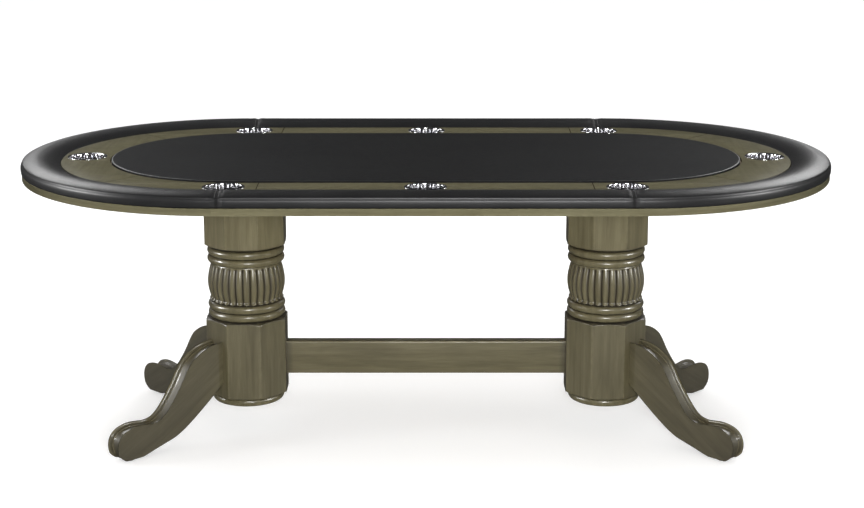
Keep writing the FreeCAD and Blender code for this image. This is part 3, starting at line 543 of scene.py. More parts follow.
def make_rail_panel(face, seed):
    """One vinyl panel of the rail between two seams, closed underneath."""
    start, end = PANELS[face]
    stations = outline_stations(start, end, 0.012, (start, end))
    columns = len(SECTION_LINE)
    vertices = []
    for skeleton, outward, run in stations:
        vertices += [rail_point(skeleton, outward, run, column, seed) for column in range(columns)]
        for inward, height in ((RAIL_WIDTH, 0.0005), (RAIL_WIDTH / 2, 0.0005), (0.004, 0.0)):
            place = skeleton + outward * (RAIL_OUTER - inward)
            vertices.append(Vector((place.x, place.y, RAIL_BOTTOM + height)))
    columns += 3
    faces = grid_faces(len(stations), columns, close_columns=True)
    last = (len(stations) - 1) * columns
    faces.append(tuple(range(columns)))
    faces.append(tuple(last + column for column in reversed(range(columns))))
    panel = make_piece("rail_panel_" + face, vertices, faces, VINYL, smooth_angle=70)
    # Painted shade along the bottom of the section and at the panel's ends beside the seams.
    dark = []
    under_shade_values = [0.9 * max(0.0, 1 - height / 0.0045) for _, height in SECTION_LINE] + [1.0] * 3
    for _, _, run in stations:
        away = min(run - start, end - run)
        shade = 0.95 * bell(away, 0.0035) + 0.45 * bell(away, 0.011)
        dark += [min(1.0, max(shade, under_shade)) for under_shade in under_shade_values]
    set_values(panel, "painted_shade", dark)
    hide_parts("rail_pad_" + face)
    return panel


def stitch_mesh(start, end, radius, sides=6):
    """A single stitch: a short thread that dives into the vinyl at both ends."""
    along = end - start
    length = along.length
    direction = along.normalized()
    side = direction.cross(Vector((0, 0, 1)))
    if side.length < 0.2:
        side = direction.cross(Vector((1, 0, 0)))
    side.normalize()
    lift = side.cross(direction)
    rings = ((0.0, 0.35), (0.12, 0.85), (0.5, 1.0), (0.88, 0.85), (1.0, 0.35))
    vertices = []
    for place, thickness in rings:
        for k in range(sides):
            turn = 2 * math.pi * k / sides
            offset = side * math.cos(turn) + lift * math.sin(turn)
            vertices.append(start + direction * (length * place) + offset * (radius * thickness))
    faces = grid_faces(len(rings), sides, close_columns=True)
    faces.append(tuple(reversed(range(sides))))
    faces.append(tuple(range(len(vertices) - sides, len(vertices))))
    return vertices, faces


def place_on_rail(run, distance):
    """The point and the outward normal of the rail's skin at a run and a distance over it."""
    skeleton, outward, _ = outline_stations(run, run, 1)[0]
    walked = 0.0
    for column in range(1, len(SECTION_LINE)):
        step = math.dist(SECTION_LINE[column - 1], SECTION_LINE[column])
        if walked + step >= distance:
            t = (distance - walked) / step
            a, b = SECTION_LINE[column - 1], SECTION_LINE[column]
            inward, height = a[0] + (b[0] - a[0]) * t, a[1] + (b[1] - a[1]) * t
            normal = SECTION_NORMALS[column]
            break
        walked += step
    place = skeleton + outward * (RAIL_OUTER - inward)
    out = outward * -normal.x + Vector((0, 0, normal.y))
    return Vector((place.x, place.y, RAIL_BOTTOM + height)), out


def make_topstitching():
    """Double rows of stitches beside each cross seam of the rail."""
    section_length = sum(math.dist(a, b) for a, b in zip(SECTION_LINE, SECTION_LINE[1:]))
    names = ("front_right", "back_right", "back_left", "front_left")
    for name, seam in zip(names, SEAM_RUNS):
        vertices, faces = [], []
        for side in (-1, 1):
            distance = 0.006
            while distance < section_length - 0.012:
                run = seam + side * STITCH_OFFSET
                start, out = place_on_rail(run, distance)
                end, _ = place_on_rail(run, distance + STITCH_LENGTH)
                sunk = out * 0.0012
                more_vertices, more_faces = stitch_mesh(start - sunk, end - sunk, STITCH_RADIUS)
                offset = len(vertices)
                vertices += more_vertices
                faces += [tuple(offset + corner for corner in face) for face in more_faces]
                distance += STITCH_PITCH
        stitches = make_piece("topstitching_" + name, vertices, faces, THREAD)


# ------------------------------------------------------------------ playing surface


def split_long_ring(centre, radius, stations, along):
    """The same, with the two straight sides divided as well."""
    points = []
    for way in (1, -1):
        for k in range(stations + 1):
            turn = -math.pi / 2 + math.pi * k / stations
            points.append((way * (centre + radius * math.cos(turn)), way * radius * math.sin(turn)))
        for k in range(1, along):
            points.append((way * (centre - 2 * centre * k / along), way * radius))
    return points


# How far the cloth's tight edge lies inside the board under it.
FIELD_TUCK = 0.0018


def make_playing_surface():
    """The foam-backed cloth top: tight rounded edge, faint crown, almost flat."""
    rounding = 0.0040
    section = [(0.0, 0.0), (0.0, FIELD_TOP - FIELD_BOTTOM - rounding)]
    for k in range(1, 9):
        turn = math.pi / 2 * k / 8
        section.append((rounding * (1 - math.cos(turn)), section[1][1] + rounding * math.sin(turn) * 0.985))
    section += [(inward, FIELD_TOP - FIELD_BOTTOM)
                for inward in (0.012, 0.03, 0.06, 0.10, 0.15, 0.20, 0.26, 0.32, 0.3445)]
    vertices = []
    columns = 0
    for inward, height in section:
        ring = split_long_ring(FIELD_CENTRE, FIELD_RADIUS - FIELD_TUCK - inward, 96, 72)
        columns = len(ring)
        for across, along in ring:
            flat = min(1.0, inward / 0.03)
            sag = 0.00025 * (1 + noise.noise(Vector((across * 4, along * 4, 2.0)))) * flat
            vertices.append((across, along, FIELD_BOTTOM + height - sag))
    faces = grid_faces(len(section), columns, close_columns=True)
    last = (len(section) - 1) * columns
    faces.append(tuple(last + column for column in range(columns)))
    faces.append(tuple(reversed(range(columns))))
    surface = make_piece("playing_surface", vertices, faces, CLOTH, smooth_angle=60)
    surface.data.materials.append(TIGHT_CLOTH)
    for index, polygon in enumerate(surface.data.polygons):
        polygon.material_index = 1 if 5 * columns <= index < 9 * columns else 0
    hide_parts("playfield_pad")


# ------------------------------------------------------------------ wood of the top


def make_lipping():
    """Solid edge of the board, four lengths, with eased arrises lightened partly by wear and partly as a
    painted highlight.
    """
    thickness = BOARD_TOP - BOARD_BOTTOM
    ease = 0.0022
    section = [(LIP_OUTER - LIP_INNER, 0.0)]
    turns = (0, 0.4, 0.8, 1.2, math.pi / 2)
    section += [(ease - ease * math.sin(t), ease - ease * math.cos(t)) for t in turns]
    section += [(0.0, thickness / 2)]
    section += [(ease - ease * math.cos(t), thickness - ease + ease * math.sin(t)) for t in turns]
    section += [(LIP_OUTER - LIP_INNER, thickness)]
    # How much each arris is lightened: partly wear, partly a painted highlight.
    edge_wear_and_highlight = [0, 0, 0.5, 1, 1, 0.3, 0, 0.3, 1, 1, 0.5, 0, 0]
    joints = {"front": (-END_CENTRE, END_CENTRE), "right": (END_CENTRE, END_CENTRE + HALF_ARC),
              "back": (END_CENTRE + HALF_ARC, 3 * END_CENTRE + HALF_ARC),
              "left": (3 * END_CENTRE + HALF_ARC, 3 * END_CENTRE + 2 * HALF_ARC)}
    for seed, (face, (start, end)) in enumerate(joints.items()):
        stations = outline_stations(start, end, 0.012)
        vertices, grain, edges = [], [], []
        for skeleton, outward, run in stations:
            for (inward, height), arris_wear_and_highlight in zip(section, edge_wear_and_highlight):
                place = skeleton + outward * (LIP_OUTER - inward)
                vertices.append((place.x, place.y, BOARD_BOTTOM + height))
                grain += [run + seed * 5, inward, height]
                edges.append(arris_wear_and_highlight * 0.5)
        columns = len(section)
        faces = grid_faces(len(stations), columns, close_columns=True)
        faces.append(tuple(range(columns)))
        last = (len(stations) - 1) * columns
        faces.append(tuple(last + column for column in reversed(range(columns))))
        lip = make_piece("lipping_" + face + "_moulded", vertices, faces, TOP_WOOD)
        layer = lip.data.attributes.new("grain", "FLOAT_VECTOR", "POINT")
        layer.data.foreach_set("vector", grain)
        set_values(lip, "edge", edges)
        # Painted shade along the inner top edge, where the lipping meets the rail.
        set_values(lip, "painted_shade", ([0.0] * (columns - 1) + [1.0]) * len(stations))
        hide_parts("lipping_" + face)


def flat_board(name, outline, holes, bottom, top, bevel, material, body="root"):
    """A board cut to an outline with holes, its arrises rounded by bevel."""
    curve = bpy.data.curves.new(name, "CURVE")
    curve.dimensions = "2D"
    curve.fill_mode = "BOTH"
    curve.extrude = (top - bottom) / 2 - bevel
    curve.bevel_depth = bevel
    curve.bevel_resolution = 2
    curve.offset = -bevel
    for ring in [outline] + holes:
        spline = curve.splines.new("POLY")
        spline.points.add(len(ring) - 1)
        for point, (across, along) in zip(spline.points, ring):
            point.co = (across, along, 0, 1)
        spline.use_cyclic_u = True
    source = bpy.data.objects.new(name + "_curve", curve)
    bpy.context.scene.collection.objects.link(source)
    depsgraph = bpy.context.evaluated_depsgraph_get()
    mesh = bpy.data.meshes.new_from_object(source.evaluated_get(depsgraph))
    middle = (top + bottom) / 2
    vertices = [(v.co.x, v.co.y, v.co.z + middle) for v in mesh.vertices]
    faces = [tuple(polygon.vertices) for polygon in mesh.polygons]
    bpy.data.objects.remove(source)
    bpy.data.meshes.remove(mesh)
    board = make_piece(name, vertices, faces, material, body, 30)
    weld = bmesh.new()
    weld.from_mesh(board.data)
    bmesh.ops.remove_doubles(weld, verts=weld.verts, dist=1e-6)
    bmesh.ops.recalc_face_normals(weld, faces=weld.faces)
    weld.to_mesh(board.data)
    weld.free()
    board.data.set_sharp_from_angle(angle=math.radians(30))
    return board


TRACK_INNER_RADIUS = -high("racetrack_front").y
JOINT_ANGLE = math.degrees(math.asin(high("racetrack_right").y / RAIL_INNER))
HOLE_RADIUS = (high("cup_end_right").x - low("cup_end_right").x) / 2 - 0.0055
CUP_PLACES = {
    node: (low(node) + high(node)) / 2
    for node in frame["nodes"]
    if node.startswith("cup_")
}


def cup_hole(node):
    """The hole that a cup drops into."""
    place = CUP_PLACES[node]
    return [(place.x + HOLE_RADIUS * math.cos(2 * math.pi * k / 96),
             place.y + HOLE_RADIUS * math.sin(2 * math.pi * k / 96)) for k in range(96)]


def end_outline(start, end, way):
    """Corners of a racetrack piece between two directions from the rounded end's centre."""
    count = 48
    turns = [math.radians(start + (end - start) * k / count) for k in range(count + 1)]
    outer = [(END_CENTRE + RAIL_INNER * math.cos(t), RAIL_INNER * math.sin(t)) for t in turns]
    step = END_CENTRE - FIELD_CENTRE
    inner = []
    for t in reversed(turns):
        reach = math.sqrt(TRACK_INNER_RADIUS ** 2 - (step * math.sin(t)) ** 2) - step * math.cos(t)
        inner.append((END_CENTRE + reach * math.cos(t), reach * math.sin(t)))
    return [(way * across, along) for across, along in outer + inner]


def corner_outline(way, out):
    """Corners of a racetrack piece from a side's butt joint to an end joint."""
    arc = end_outline(JOINT_ANGLE, 89.999, 1)
    half = len(arc) // 2
    outer, inner = arc[:half], arc[half:]
    inner = [(across, along) for across, along in inner if across >= FIELD_CENTRE]
    start = [(TRACK_JOINT, RAIL_INNER), (TRACK_JOINT, TRACK_INNER_RADIUS)]
    return [(way * across, out * along) for across, along in outer + start + inner]


def make_racetrack():
    """Eight lengths of wood with straight grain and fine rounded joints."""
    side = [(-TRACK_JOINT, TRACK_INNER_RADIUS), (TRACK_JOINT, TRACK_INNER_RADIUS),
            (TRACK_JOINT, RAIL_INNER), (-TRACK_JOINT, RAIL_INNER)]
    pieces = []
    for face, out in FACES:
        outline = [(across, out * along) for across, along in side]
        pieces.append((face, outline, "cup_middle_" + face, (1, 0, 0)))
    for name, way in SIDES:
        pieces.append((name, end_outline(-JOINT_ANGLE, JOINT_ANGLE, way), "cup_end_" + name, (0, 1, 0)))
        for face, out in FACES:
            outline = corner_outline(way, out)
            grain = (1, -0.45 * way * out, 0)
            pieces.append((face + "_" + name, outline, "cup_%s_%s" % (face, name), grain))
    for seed, (name, outline, cup, along) in enumerate(pieces):
        board = flat_board("racetrack_wood_" + name, outline, [cup_hole(cup)],
                           BOARD_TOP, TRACK_TOP, 0.0015, TOP_WOOD)
        set_grain(board, along, seed + 1, (0, 0, 1))
        points = board.data.vertices
        # The top arrises are lightened, partly as wear and partly as a painted highlight; everything below
        # the top face (sides, joints, cup holes) gets painted shade.
        arris = [0.35 if v.co.z > TRACK_TOP - 0.0001 else 0.0 for v in points]
        set_values(board, "edge", arris)
        set_values(board, "painted_shade", [1.0 if v.co.z < TRACK_TOP - 0.0002 else 0.0 for v in points])
        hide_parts("racetrack_" + name)


# ------------------------------------------------------------------ turned pieces


def lathe(name, profile, centre, material, body="root", segments=128, smooth_angle=35):
    """A turned piece from a closed profile of radius and height, about an upright axis."""
    vertices = []
    for k in range(segments):
        turn = 2 * math.pi * k / segments
        for radius, height in profile:
            vertices.append((centre.x + radius * math.cos(turn), centre.y + radius * math.sin(turn), height))
    faces = [tuple(reversed(face)) for face in
             grid_faces(segments, len(profile), close_rows=True, close_columns=False)]
    piece = make_piece(name, vertices, faces, material, body, smooth_angle)
    mend = bmesh.new()
    mend.from_mesh(piece.data)
    bmesh.ops.remove_doubles(mend, verts=mend.verts, dist=1e-7)
    bmesh.ops.recalc_face_normals(mend, faces=mend.faces)
    mend.to_mesh(piece.data)
    mend.free()
    piece.data.shade_smooth()
    piece.data.set_sharp_from_angle(angle=math.radians(smooth_angle))
    return piece


def make_cup(node):
    """Drop-in cup: rolled flange, straight polished wall, dished bottom with a ring."""
    place = CUP_PLACES[node]
    flange = high(node).x - place.x
    floor_height = low(node).z
    top = high(node).z
    seat = TRACK_TOP
    wall = HOLE_RADIUS - 0.001
    sheet = 0.0010
    corner = 0.0070
    roll = (top - seat) / 2
    outside = [(0.0, floor_height), (wall - corner, floor_height)]
    outside += [(wall - corner + corner * math.sin(t), floor_height + corner - corner * math.cos(t))
                for t in (0.3, 0.6, 0.9, 1.2, math.pi / 2)]
    outside += [(wall, seat)]
    outside += [(flange - roll, seat)]
    outside += [(flange - roll + roll * math.sin(t), seat + roll - roll * math.cos(t))
                for t in (0.5, 1.1, math.pi / 2, 2.1, 2.7, math.pi)]
    dish = flange - 0.0042
    inside = [(dish, top - 0.0002), (dish - 0.0012, top - 0.0005), (wall + 0.0016, top - 0.0004)]
    bend = 0.0021
    inner = wall - sheet
    inside += [(inner + bend - bend * math.sin(t), top - 0.0004 - bend + bend * math.cos(t))
               for t in (0.3, 0.6, 0.9, 1.2, math.pi / 2)]
    turn_radius = corner - sheet
    inside += [(inner, floor_height + sheet + turn_radius + 0.030),
               (inner, floor_height + sheet + turn_radius)]
    inside += [(inner - turn_radius + turn_radius * math.cos(t),
                floor_height + sheet + turn_radius - turn_radius * math.sin(t))
               for t in (0.3, 0.6, 0.9, 1.2, math.pi / 2)]
    inside += [(0.034, floor_height + sheet), (0.032, floor_height + sheet + 0.0006),
               (0.030, floor_height + sheet + 0.0006), (0.028, floor_height + sheet),
               (0.0, floor_height + sheet)]
    cup = lathe(node + "_steel", outside + inside, place, STEEL, node, 96)
    turned = []
    for vertex in cup.data.vertices:
        across, along = vertex.co.x - place.x, vertex.co.y - place.y
        turned += [math.atan2(along, across) * 0.05, 0.0, math.hypot(across, along) + vertex.co.z]
    layer = cup.data.attributes.new("turned", "FLOAT_VECTOR", "POINT")
    layer.data.foreach_set("vector", turned)
    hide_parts(node)


# ------------------------------------------------------------------ pedestals


def make_block(node, centre, painted_shade_level):
    """Octagonal block: flat faces, arrises lightened partly by wear and partly as a painted highlight, ends
    eased on the lathe.
    """
    bottom, top = low(node).z, high(node).z
    ease = 0.0046
    per_face = 12
    vertices, edge, painted_shade = [], [], []
    turns = []
    for face in range(8):
        for k in range(per_face):
            turns.append((face + k / per_face) * math.pi / 4 - math.pi / 8)
    levels = (0.0, 0.02, 0.25, 0.5, 0.75, 0.98, 1.0)
    rings = 2 + len(levels) + 2
    for turn in turns:
        local = (turn + math.pi / 8) % (math.pi / 4) - math.pi / 8
        radius = BLOCK_FLAT / math.cos(local)
        rise = ease * (radius - BLOCK_FLAT) / (BLOCK_CORNER - BLOCK_FLAT)
        column = [(BLOCK_FLAT * 0.5, bottom), (BLOCK_FLAT, bottom)]
        column += [(radius, bottom + rise + (top - bottom - 2 * rise) * level) for level in levels]
        column += [(BLOCK_FLAT, top), (BLOCK_FLAT * 0.5, top)]
        for reach, height in column:
            vertices.append((centre.x + reach * math.cos(turn), centre.y + reach * math.sin(turn), height))
    faces = [tuple(reversed(face)) for face in grid_faces(len(turns), rings, close_rows=True)]
    block = make_piece(node + "_wood", vertices, faces, PEDESTAL_WOOD)
    shape = bmesh.new()
    shape.from_mesh(block.data)
    bmesh.ops.remove_doubles(shape, verts=shape.verts, dist=2e-5)
    bmesh.ops.recalc_face_normals(shape, faces=shape.faces)
    sharp = [e for e in shape.edges if len(e.link_faces) == 2 and e.calc_face_angle(0) > math.radians(20)
             and min(math.hypot(v.co.x - centre.x, v.co.y - centre.y) for v in e.verts) > BLOCK_FLAT * 0.9]
    bmesh.ops.bevel(shape, geom=sharp, offset=0.0011, segments=3, profile=0.5, affect="EDGES")
    shape.to_mesh(block.data)
    shape.free()
    block.data.shade_smooth()
    block.data.set_sharp_from_angle(angle=math.radians(30))
    for vertex in block.data.vertices:
        across, along = vertex.co.x - centre.x, vertex.co.y - centre.y
        reach = math.hypot(across, along)
        local = (math.atan2(along, across) + math.pi / 8) % (math.pi / 4) - math.pi / 8
        # Corners lighten: partly wear, partly a painted highlight.
        near_corner = abs(abs(local) - math.pi / 8) * reach
        edge_wear_and_highlight = max(0.0, 1 - near_corner / 0.0016)
        edge.append(0.35 * edge_wear_and_highlight)
        # Painted shade at both ends, where the block meets its neighbours, over an even painted shade for
        # the whole block.
        near_end = min(vertex.co.z - bottom, top - vertex.co.z)
        painted_shade.append(max(painted_shade_level, 0.75 * max(0.0, 1 - near_end / 0.0035)))
    set_values(block, "edge", edge)
    set_values(block, "painted_shade", painted_shade)
    set_grain(block, (0, 0, 1), sum(map(ord, node)) % 17)
    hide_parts(node)


REEDS = 32
REED_COLUMNS = 12
REED_DEPTH = 0.0066
BEAD = 0.0110
BEAD_NECK = 0.0925


def reed_shape(t):
    """How wide a reed is, and how deep its valleys are, at a share of the bulb's height.

    A reed has a round tip at the bottom; a valley starts abruptly under the collar.
    """
    tip = min(1.0, max(0.0, (t - 0.022) / 0.030))
    start = min(1.0, max(0.0, (0.962 - t) / 0.045))
    return math.sqrt(1 - (1 - tip) ** 2), math.sqrt(1 - (1 - start) ** 2)


def vase_profile(bottom, top):
    """Rows of (radius, height, shape of a reed or None, painted shade), from bottom to top."""
    # The closing rows carry full painted shade where the vase meets the lower block.
    rows = [(0.02, bottom, None, 0.0), (BEAD_NECK - 0.002, bottom, None, 1.0)]

    def add_bead(middle):
        for k in range(13):
            turn = -math.pi / 2 + math.pi * k / 12
            # Painted shade at the top and bottom of each bead, where it meets its neck.
            dark = min(1.0, max(0.0, abs(turn) - 0.85) * 1.7)
            rows.append((BEAD_NECK + BEAD * math.cos(turn), middle + BEAD * math.sin(turn), None, dark))

    low_bead, high_bead = bottom + 0.0352, top - 0.0382
    add_bead(bottom + 0.0131)
    add_bead(low_bead)
    bulb_low, bulb_high = low_bead + BEAD, high_bead - BEAD
    steps = 80
    for k in range(1, steps):
        t = k / steps
        swell = math.sin(math.pi * min(1.0, max(0.0, (t - 0.05) / 0.95)) ** 0.88)
        radius = 0.0935 + 0.0100 * swell + 0.0062 * bell(t - 0.040, 0.038)
        # Painted shade in the pockets where the valleys start under the collar.
        pocket = 0.8 * bell(t - 0.915, 0.035)
        rows.append((radius, bulb_low + (bulb_high - bulb_low) * t, reed_shape(t), pocket))
    add_bead(high_bead)
    add_bead(top - 0.0161)
    # Full painted shade where the vase meets the upper block.
    rows += [(BEAD_NECK - 0.002, top, None, 1.0), (0.02, top, None, 0.0)]
    return rows


def make_vase(node, centre):
    """Two beads, a reeded bulb with lipped reeds, and two more beads, turned in one piece."""
    rows = vase_profile(low(node).z, high(node).z)
    count = REEDS * REED_COLUMNS
    vertices, painted_shade_values = [], []
    for k in range(count):
        turn = 2 * math.pi * k / count
        across = abs((k % REED_COLUMNS) / REED_COLUMNS * 2 - 1)
        for radius, height, reed, dark in rows:
            reach = radius
            if reed:
                width, depth = reed
                share = min(1.0, across / max(width, 1e-3))
                valley = depth * (1 - math.sqrt(1 - 0.97 * share ** 2))
                reach = radius - REED_DEPTH * valley
                # Painted shade in the valleys between the reeds, and in the pockets at their tops.
                dark = min(1.0, max(0.0, valley - 0.08) * 2.3 + dark * across ** 3)
            vertices.append((centre.x + reach * math.cos(turn), centre.y + reach * math.sin(turn), height))
            painted_shade_values.append(dark)
    faces = [tuple(reversed(face)) for face in grid_faces(count, len(rows), close_rows=True)]
    vase = make_piece(node + "_turned", vertices, faces, PEDESTAL_WOOD, smooth_angle=75)
    set_values(vase, "painted_shade", painted_shade_values)
    set_values(vase, "edge", [0.0] * len(vertices))
    set_grain(vase, (0, 0, 1), sum(map(ord, node)) % 13)
    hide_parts(node)


def make_base_ring(node, centre):
    """Turned disc under the lower block with a rounded rim."""
    bottom, top = low(node).z, high(node).z
    radius = high(node).x - centre.x
    profile = [(0.007, bottom), (radius - 0.012, bottom)]
    profile += [(radius - 0.011 + 0.011 * math.cos(t), bottom + 0.011 + 0.011 * math.sin(t))
                for t in [-math.pi / 2 + math.pi * k / 16 for k in range(17)]]
    profile += [(radius - 0.012, top), (0.007, top)]
    ring = lathe(node + "_turned", profile, centre, PEDESTAL_WOOD, segments=160, smooth_angle=50)
    # Painted shade along the top, under the lower block.
    painted_shade = [0.9 * max(0.0, 1 - (top - v.co.z) / 0.004) for v in ring.data.vertices]
    set_values(ring, "painted_shade", painted_shade)
    set_values(ring, "edge", [0.0] * len(painted_shade))
    set_grain(ring, (0, 1, 0), 3)
    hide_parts(node)


# A leg in its own plane: distance from the pedestal's axis and height.
LEG_UPPER = [(100, 248.2), (106, 248), (139, 245), (170, 235), (200, 216), (218, 194), (236, 165),
             (255, 138), (273, 115), (291, 96), (310, 83), (328, 78), (345, 77), (364, 79.5),
             (383, 81.5), (401, 80.5), (418, 76), (429, 70), (437, 60), (440, 48), (439, 36),
             (435, 24), (429, 14), (423, 6.3)]
LEG_LOWER = [(390, 6.3), (375, 9), (352, 15), (331, 21), (300, 29), (268, 38), (236, 54),
             (202, 76), (170, 99), (138, 123), (106, 148), (100, 152.5)]
# Across a leg's thickness: distance from its middle and depth under its outline.
LEG_MOULDING = [(0.0, -0.3), (6.0, -0.15), (11.0, 0.0), (14.0, 0.25), (15.2, 0.7), (15.5, 1.1),
                (15.6, 2.5), (16.1, 2.9), (17.3, 3.0), (18.9, 3.6), (20.4, 4.8), (21.6, 6.4),
                (22.3, 8.2), (22.5, 9.6)]
# Painted shade in the moulding's quirks, and how much its arrises are lightened: partly wear, partly a
# painted highlight.
LEG_MOULDING_SHADE = [0, 0, 0, 0, 0, 0.2, 0.8, 0.9, 0.45, 0, 0, 0, 0, 0]
LEG_MOULDING_WEAR_AND_HIGHLIGHT = [0, 0, 0, 0, 0.3, 0.5, 0, 0, 0, 0, 0, 0.1, 0.5, 0.6]
LEG_PLAIN = [0.0] * 9 + [0.0, 0.0, 0.15, 0.6, 1.5]


def leg_outline():
    """The closed outline of a leg, and how far the moulding runs along it."""
    upper = smooth_line([(r * MM, z * MM) for r, z in LEG_UPPER], 0.004)
    lower = smooth_line([(r * MM, z * MM) for r, z in LEG_LOWER], 0.006)
    outline = upper + lower
    moulded = []
    for index in range(len(upper)):
        to_heel = sum(math.dist(upper[k], upper[k + 1]) for k in range(index, len(upper) - 1))
        moulded.append(min(1.0, max(0.0, (to_heel - 0.004) / 0.022)))
    return outline, moulded + [0.0] * len(lower)


def make_leg(node, centre, angle, seed):
    """Scrolled plank leg with an ovolo and step along its upper edge and toe."""
    outline, moulded = leg_outline()
    count = len(outline)
    normals = []
    for index in range(count):
        before, after = outline[index - 1], outline[(index + 1) % count]
        along = Vector((after[0] - before[0], after[1] - before[1])).normalized()
        normals.append(Vector((along.y, -along.x)))
    stations = [(-y, d, p, h, e) for y, d, p, h, e in
                zip(*zip(*LEG_MOULDING), LEG_PLAIN, LEG_MOULDING_SHADE, LEG_MOULDING_WEAR_AND_HIGHLIGHT)][::-1]
    flat_y, flat_deep, flat_plain = stations[0][:3]
    stations.insert(0, (flat_y, flat_deep + 2.0, flat_plain + 2.0, 0.0, 0.0))
    stations += [(-y, d, p, h, e) for y, d, p, h, e in stations[:-1][::-1]]
    outward = Vector((math.cos(angle), math.sin(angle), 0))
    sideways = Vector((-math.sin(angle), math.cos(angle), 0))
    vertices, dark, edge_wear_and_highlight = [], [], []
    for across, deep, plain, painted_shade, edge in stations:
        for (reach, height), normal, mould in zip(outline, normals, moulded):
            inset = (deep * mould + plain * (1 - mould)) * MM
            place_reach, place_height = reach - normal.x * inset, height - normal.y * inset
            place = outward * place_reach + sideways * (across * MM)
            vertices.append((centre.x + place.x, centre.y + place.y, max(place_height, 0.006)))
            # Painted shade: the leg darkens towards the floor, and more along the moulding.
            painted_shade_level = 0.27 + 0.38 * max(0.0, 1 - place_height / 0.13)
            dark.append(max(painted_shade * mould, painted_shade_level + 0.15 * mould))
            edge_wear_and_highlight.append(edge * (0.35 + 0.65 * mould))
    faces = grid_faces(len(stations), count, close_columns=True)
    last = (len(stations) - 1) * count
    faces.append(tuple(reversed(range(count))))
    faces.append(tuple(last + index for index in range(count)))
    leg = make_piece(node + "_scroll", vertices, faces, PEDESTAL_WOOD, smooth_angle=38)
    set_values(leg, "painted_shade", dark)
    set_values(leg, "edge", edge_wear_and_highlight)
    set_grain(leg, outward * 0.86 + Vector((0, 0, -0.5)), seed, sideways)
    fix = bmesh.new()
    fix.from_mesh(leg.data)
    bmesh.ops.recalc_face_normals(fix, faces=fix.faces)
    fix.to_mesh(leg.data)
    fix.free()
    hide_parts(node)


def make_stretcher():
    """Board on edge between the lower blocks, with rounded long edges lightened partly by wear and partly as
    a painted highlight.
    """
    near, far = low("stretcher"), high("stretcher")
    half, bottom, top = far.y, near.z, far.z
    ease = 0.0035
    section = []
    corners = ((half, bottom, -90), (half, top, 0), (-half, top, 90), (-half, bottom, 180))
    for across, height, start in corners:
        centre_y = across - math.copysign(ease, across)
        centre_z = height + (ease if height == bottom else -ease)
        section += arc_points((centre_y, centre_z), ease, start, start + 90, 5)
    stations = [near.x + (far.x - near.x) * k / 40 for k in range(41)]
    vertices = [(along, across, height) for along in stations for across, height in section]
    faces = grid_faces(len(stations), len(section), close_columns=True)
    faces.append(tuple(reversed(range(len(section)))))
    last = (len(stations) - 1) * len(section)
    faces.append(tuple(last + k for k in range(len(section))))
    board = make_piece("stretcher_board", vertices, faces, PEDESTAL_WOOD, smooth_angle=40)
    # The rounded edges are lightened, partly as wear and partly as a painted highlight.
    rounded = [0.5 if 1 <= index % 6 <= 4 else 0.0 for index in range(len(section))] * len(stations)
    set_values(board, "edge", rounded)
    # Painted shade near both ends, where the board meets the blocks, and a faint painted shade all along.
    ends = [max(0.1, 0.7 * (1 - (far.x - abs(along)) / 0.004)) for along in stations for _ in section]
    set_values(board, "painted_shade", ends)
    set_grain(board, (1, 0, 0), 9, (0, 1, 0))
    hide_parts("stretcher")


def make_glides():
    """Nylon glides under the feet, slightly domed, with a nail head's recess."""
    glide = high("glides").x
    radius = 0.014
    across, along = glide - radius, high("glides").y - radius
    for way in (1, -1):
        for out in (1, -1):
            place = Vector((way * across, out * along, 0))
            profile = [(0.0, 0.0012), (0.004, 0.0012), (0.0046, 0.0), (radius - 0.003, 0.0),
                       (radius - 0.0012, 0.0006), (radius - 0.0002, 0.0020), (radius, 0.0036),
                       (radius, 0.0060), (0.0, 0.0060)]
            name = "glide_%s_%s" % ("back" if out > 0 else "front", "right" if way > 0 else "left")
            lathe(name, profile, place, NYLON, segments=48)
    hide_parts("glides")


# ------------------------------------------------------------------ what stays from the CAD

KEPT = {
    "board_plywood": PLY,
    "zinc_steel": ZINC,
}


def dress_kept_nodes():
    """Gives the CAD nodes that stay their materials."""
    for entry in frame["record"]["subparts"]:
        material = KEPT.get(entry["material_slot"])
        if material is None:
            continue
        mesh = frame["nodes"][entry["node"]].data
        mesh.materials.clear()
        mesh.materials.append(material)


# ------------------------------------------------------------------ stage


def make_floor():
    bpy.ops.mesh.primitive_plane_add(size=60, location=(0, 0, 0))
    floor = bpy.context.object
    floor.name = "studio_floor"
    floor.data.materials.append(floor_paint("floor_paint"))
    floor.visible_glossy = False


def area_light(name, place, target, width, height, power, gleam=False):
    """A soft box that lights the matt surfaces or, as a gleam, is only seen in glossy ones."""
    data = bpy.data.lights.new(name, "AREA")
    data.shape = "RECTANGLE"
    data.size, data.size_y = width, height
    data.energy = power
    light = bpy.data.objects.new(name, data)
    bpy.context.scene.collection.objects.link(light)
    light.location = place
    light.rotation_euler = (Vector(target) - Vector(place)).to_track_quat("-Z", "Y").to_euler()
    light.visible_camera = False
    light.visible_diffuse = not gleam
    light.visible_glossy = gleam


# How bright the white surround is to the camera, in glossy surfaces and on matt ones.
WORLD_SEEN, WORLD_GLOSSY, WORLD_DIFFUSE = 1.0, 0.05, 0.10


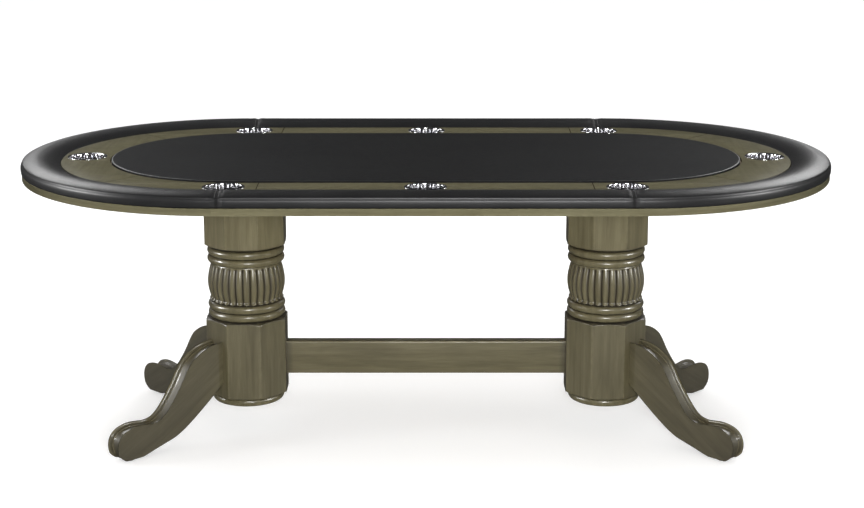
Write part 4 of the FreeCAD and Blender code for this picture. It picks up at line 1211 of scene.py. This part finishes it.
def make_lights():
    """Even light from above, three soft boxes, and a white surround that only the camera sees."""
    sky = bpy.data.lights.new("overhead_light", "SUN")
    sky.angle = math.radians(75)
    sky.energy = 2.5
    overhead = bpy.data.objects.new("overhead_light", sky)
    bpy.context.scene.collection.objects.link(overhead)
    overhead.location = (0, 0, 5)
    overhead.visible_glossy = False
    area_light("front_light", (0.25, -3.9, 1.3), (0, 0, 0.62), 1.4, 0.8, 150)
    area_light("left_light", (-4.0, -0.6, 1.5), (0, 0, 0.55), 0.8, 0.6, 30)
    area_light("right_light", (3.9, -1.3, 1.5), (0, 0, 0.55), 0.8, 0.6, 7)
    area_light("back_light", (0, 4.4, 1.2), (0, 0, 0.50), 1.6, 0.8, 90)
    area_light("front_gleam", (0.35, -3.9, 1.9), (0, 0, 0.45), 1.1, 1.1, 190, True)
    area_light("left_gleam", (-3.9, -0.6, 1.6), (0, 0, 0.45), 0.9, 0.9, 190, True)
    area_light("right_gleam", (3.9, -1.3, 1.6), (0, 0, 0.45), 0.9, 0.9, 190, True)
    area_light("back_left_gleam", (-2.8, 3.85, 3.15), (-0.95, 0, 0.75), 1.8, 1.4, 78, True)
    area_light("back_right_gleam", (2.8, 3.85, 3.15), (0.95, 0, 0.75), 1.8, 1.4, 90, True)
    world = bpy.data.worlds.new("studio")
    world.use_nodes = True
    tree = world.node_tree
    background = tree.nodes["Background"]
    background.inputs["Color"].default_value = (1, 1, 1, 1)
    seen = tree.nodes.new("ShaderNodeLightPath")
    white = tree.nodes.new("ShaderNodeMath")
    white.operation = "MULTIPLY_ADD"
    white.inputs[1].default_value = WORLD_SEEN - WORLD_GLOSSY
    white.inputs[2].default_value = WORLD_GLOSSY
    fill = tree.nodes.new("ShaderNodeMath")
    fill.operation = "MULTIPLY_ADD"
    fill.inputs[1].default_value = WORLD_DIFFUSE - WORLD_GLOSSY
    tree.links.new(seen.outputs["Is Camera Ray"], white.inputs[0])
    tree.links.new(seen.outputs["Is Diffuse Ray"], fill.inputs[0])
    tree.links.new(white.outputs[0], fill.inputs[2])
    tree.links.new(fill.outputs[0], background.inputs["Strength"])
    bpy.context.scene.world = world


def make_camera():
    """A long lens, a little above the playing surface, level with the middle of the table."""
    data = bpy.data.cameras.new("camera")
    data.sensor_width = 36
    data.lens = 76.2
    data.shift_y = -0.058
    camera = bpy.data.objects.new("camera", data)
    bpy.context.scene.collection.objects.link(camera)
    distance, height, down, aside, yaw = 4.785, 1.652, math.radians(12.2), 0.016, math.radians(0.0)
    camera.location = (aside, -distance, height)
    camera.rotation_euler = (math.pi / 2 - down, 0, yaw)
    bpy.context.scene.camera = camera


bpy.context.scene.view_settings.view_transform = "Standard"
make_camera()
make_floor()
make_lights()
for panel_seed, panel_face in enumerate(PANELS):
    make_rail_panel(panel_face, panel_seed * 11)
make_topstitching()
make_playing_surface()
make_lipping()
make_racetrack()
for cup_node in CUP_PLACES:
    make_cup(cup_node)
for side_name, side_way in SIDES:
    axis = Vector((side_way * PEDESTAL_X, 0, 0))
    make_block("upper_block_" + side_name, axis, 0.0)
    make_vase("vase_" + side_name, axis)
    # The lower block carries an even painted shade.
    make_block("lower_block_" + side_name, axis, 0.22)
    make_base_ring("base_ring_" + side_name, axis)
    for face_name, face_out in FACES:
        direction = math.atan2(face_out, side_way)
        make_leg("leg_%s_%s" % (face_name, side_name), axis, direction, face_out + 2 * side_way + 5)
make_stretcher()
make_glides()
dress_kept_nodes()
